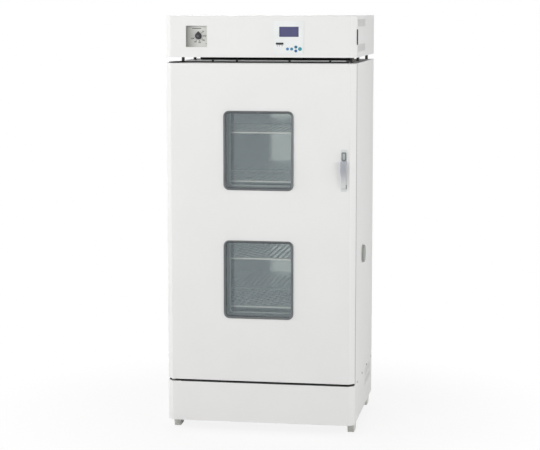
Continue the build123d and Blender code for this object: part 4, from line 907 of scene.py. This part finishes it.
# Raised bezel round the breaker on the right of the head
bezel = {"outer": (24 * mm, 60 * mm), "corner": 2.5 * mm, "middle": (-292.5 * mm, 1569 * mm),
         "steps": ((0, 1.6 * mm), (0.6 * mm, 2.2 * mm), (2.9 * mm, 2.2 * mm)), "back": -0.2 * mm}
bezelFace = roundedFace(bezel["outer"], bezel["corner"], steps=3)
bezelRing = build(bezelFace, bezel["steps"], bezel["back"], hollow=True)
settle(stand(bezelRing, (span("head_top_cover")[1].x, *bezel["middle"]), facingRight),
       "breakerBezel", blackNylon, "cabinet")
print("breaker bezel")

# Stage: a pale floor that fades to white, a white world and soft lamps, in metres and watts
floorStage = {"size": 40.0, "fadeStart": 0.5, "fadeEnd": 1.4, "near": 0.86, "colour": "#E8E8E7"}


def seenDirectly(tree):
    # 1 for rays that show the background to the camera, to gloss and through glass
    path = addNode(tree, "LightPath")
    total = path.outputs["Is Camera Ray"]
    for name in ("Is Glossy Ray", "Is Transmission Ray"):
        total = addNode(tree, "Math", operation="MAXIMUM", links={0: total, 1: path.outputs[name]}).outputs[0]
    return total


def floorMaterial():
    # matt studio floor, which shows a shadow near the object and is white further out
    material, tree = newMaterial("paleFloor")
    place = addNode(tree, "TexCoord").outputs["Object"]
    away = addNode(tree, "VectorMath", operation="LENGTH", links={0: place})
    fade = addNode(tree, "MapRange", {
        "From Min": floorStage["fadeStart"], "From Max": floorStage["fadeEnd"],
        "To Min": floorStage["near"], "To Max": 1.0,
    }, {"Value": away.outputs["Value"]}, interpolation_type="SMOOTHSTEP")
    share = addNode(tree, "Math", operation="MULTIPLY", links={0: seenDirectly(tree), 1: fade.outputs[0]})
    pale = addNode(tree, "BsdfDiffuse", {"Color": linear(floorStage["colour"])})
    white = addNode(tree, "Emission", {"Color": linear("#FFFFFF"), "Strength": 1.0})
    mixed = addNode(tree, "MixShader", links={0: share.outputs[0], 1: pale.outputs[0], 2: white.outputs[0]})
    addNode(tree, "OutputMaterial", links={"Surface": mixed.outputs[0]})
    return material


floor = add("plane", size=floorStage["size"])
floor.name = "floor"
dress(floor, floorMaterial())

ambient = 0.09
world = bpy.data.worlds.new("studio")
bpy.context.scene.world = world
world.use_nodes = True
skyTree = world.node_tree
skyTree.nodes.clear()
ambientLight = addNode(skyTree, "Background", {"Color": linear("#FFFFFF"), "Strength": ambient})
whiteBack = addNode(skyTree, "Background", {"Color": linear("#FFFFFF"), "Strength": 1.0})
chosen = addNode(skyTree, "MixShader", links={
    0: seenDirectly(skyTree), 1: ambientLight.outputs[0], 2: whiteBack.outputs[0],
})
addNode(skyTree, "OutputWorld", links={"Surface": chosen.outputs[0]})

lamps = {
    "keyLamp": {"place": (-1.6, -4.2, 3.6), "aim": (0, 0, 1.1), "size": 2.6, "power": 99},
    "leftLamp": {"place": (-4.0, -1.6, 1.8), "aim": (0, 0, 0.9), "size": 2.4, "power": 85},
    "frontLamp": {"place": (3.0, -3.0, 2.2), "aim": (0, 0, 0.9), "size": 2.0, "power": 47},
    "rightLamp": {"place": (4.2, -0.8, 1.6), "aim": (0, 0, 0.9), "size": 2.4, "power": 54},
    "topLamp": {"place": (0, 1.2, 5.4), "aim": (0, 0.1, 1.6), "size": 2.0, "power": 40},
    "backLamp": {"place": (-1.6, 4.6, 2.8), "aim": (0, 0, 0.9), "size": 2.4, "power": 65},
}
for name, lamp in lamps.items():
    light = bpy.data.lights.new(name, "AREA")
    light.size = lamp["size"]
    light.energy = lamp["power"]
    holder = bpy.data.objects.new(name, light)
    bpy.context.scene.collection.objects.link(holder)
    holder.location = lamp["place"]
    holder.rotation_euler = (Vector(lamp["aim"]) - Vector(lamp["place"])).to_track_quat("-Z", "Y").to_euler()

# Camera of the photo, found from the cabinet's edges: metres, radians, and millimetres for lens and sensor
photoCamera = {"place": (1.1206, -6.875, 1.6815), "yaw": 0.1635, "pitch": 0.1265, "lens": 113.96,
               "sensor": 36, "far": 100}
cameraData = bpy.data.cameras.new("photoCamera")
cameraData.lens = photoCamera["lens"]
cameraData.sensor_width = photoCamera["sensor"]
cameraData.clip_end = photoCamera["far"]
camera = bpy.data.objects.new("photoCamera", cameraData)
bpy.context.scene.collection.objects.link(camera)
camera.location = photoCamera["place"]
camera.rotation_euler = (math.pi / 2 - photoCamera["pitch"], 0, photoCamera["yaw"])
bpy.context.scene.camera = camera
bpy.context.scene.view_settings.view_transform = "Standard"
print("stage, lamps and camera")
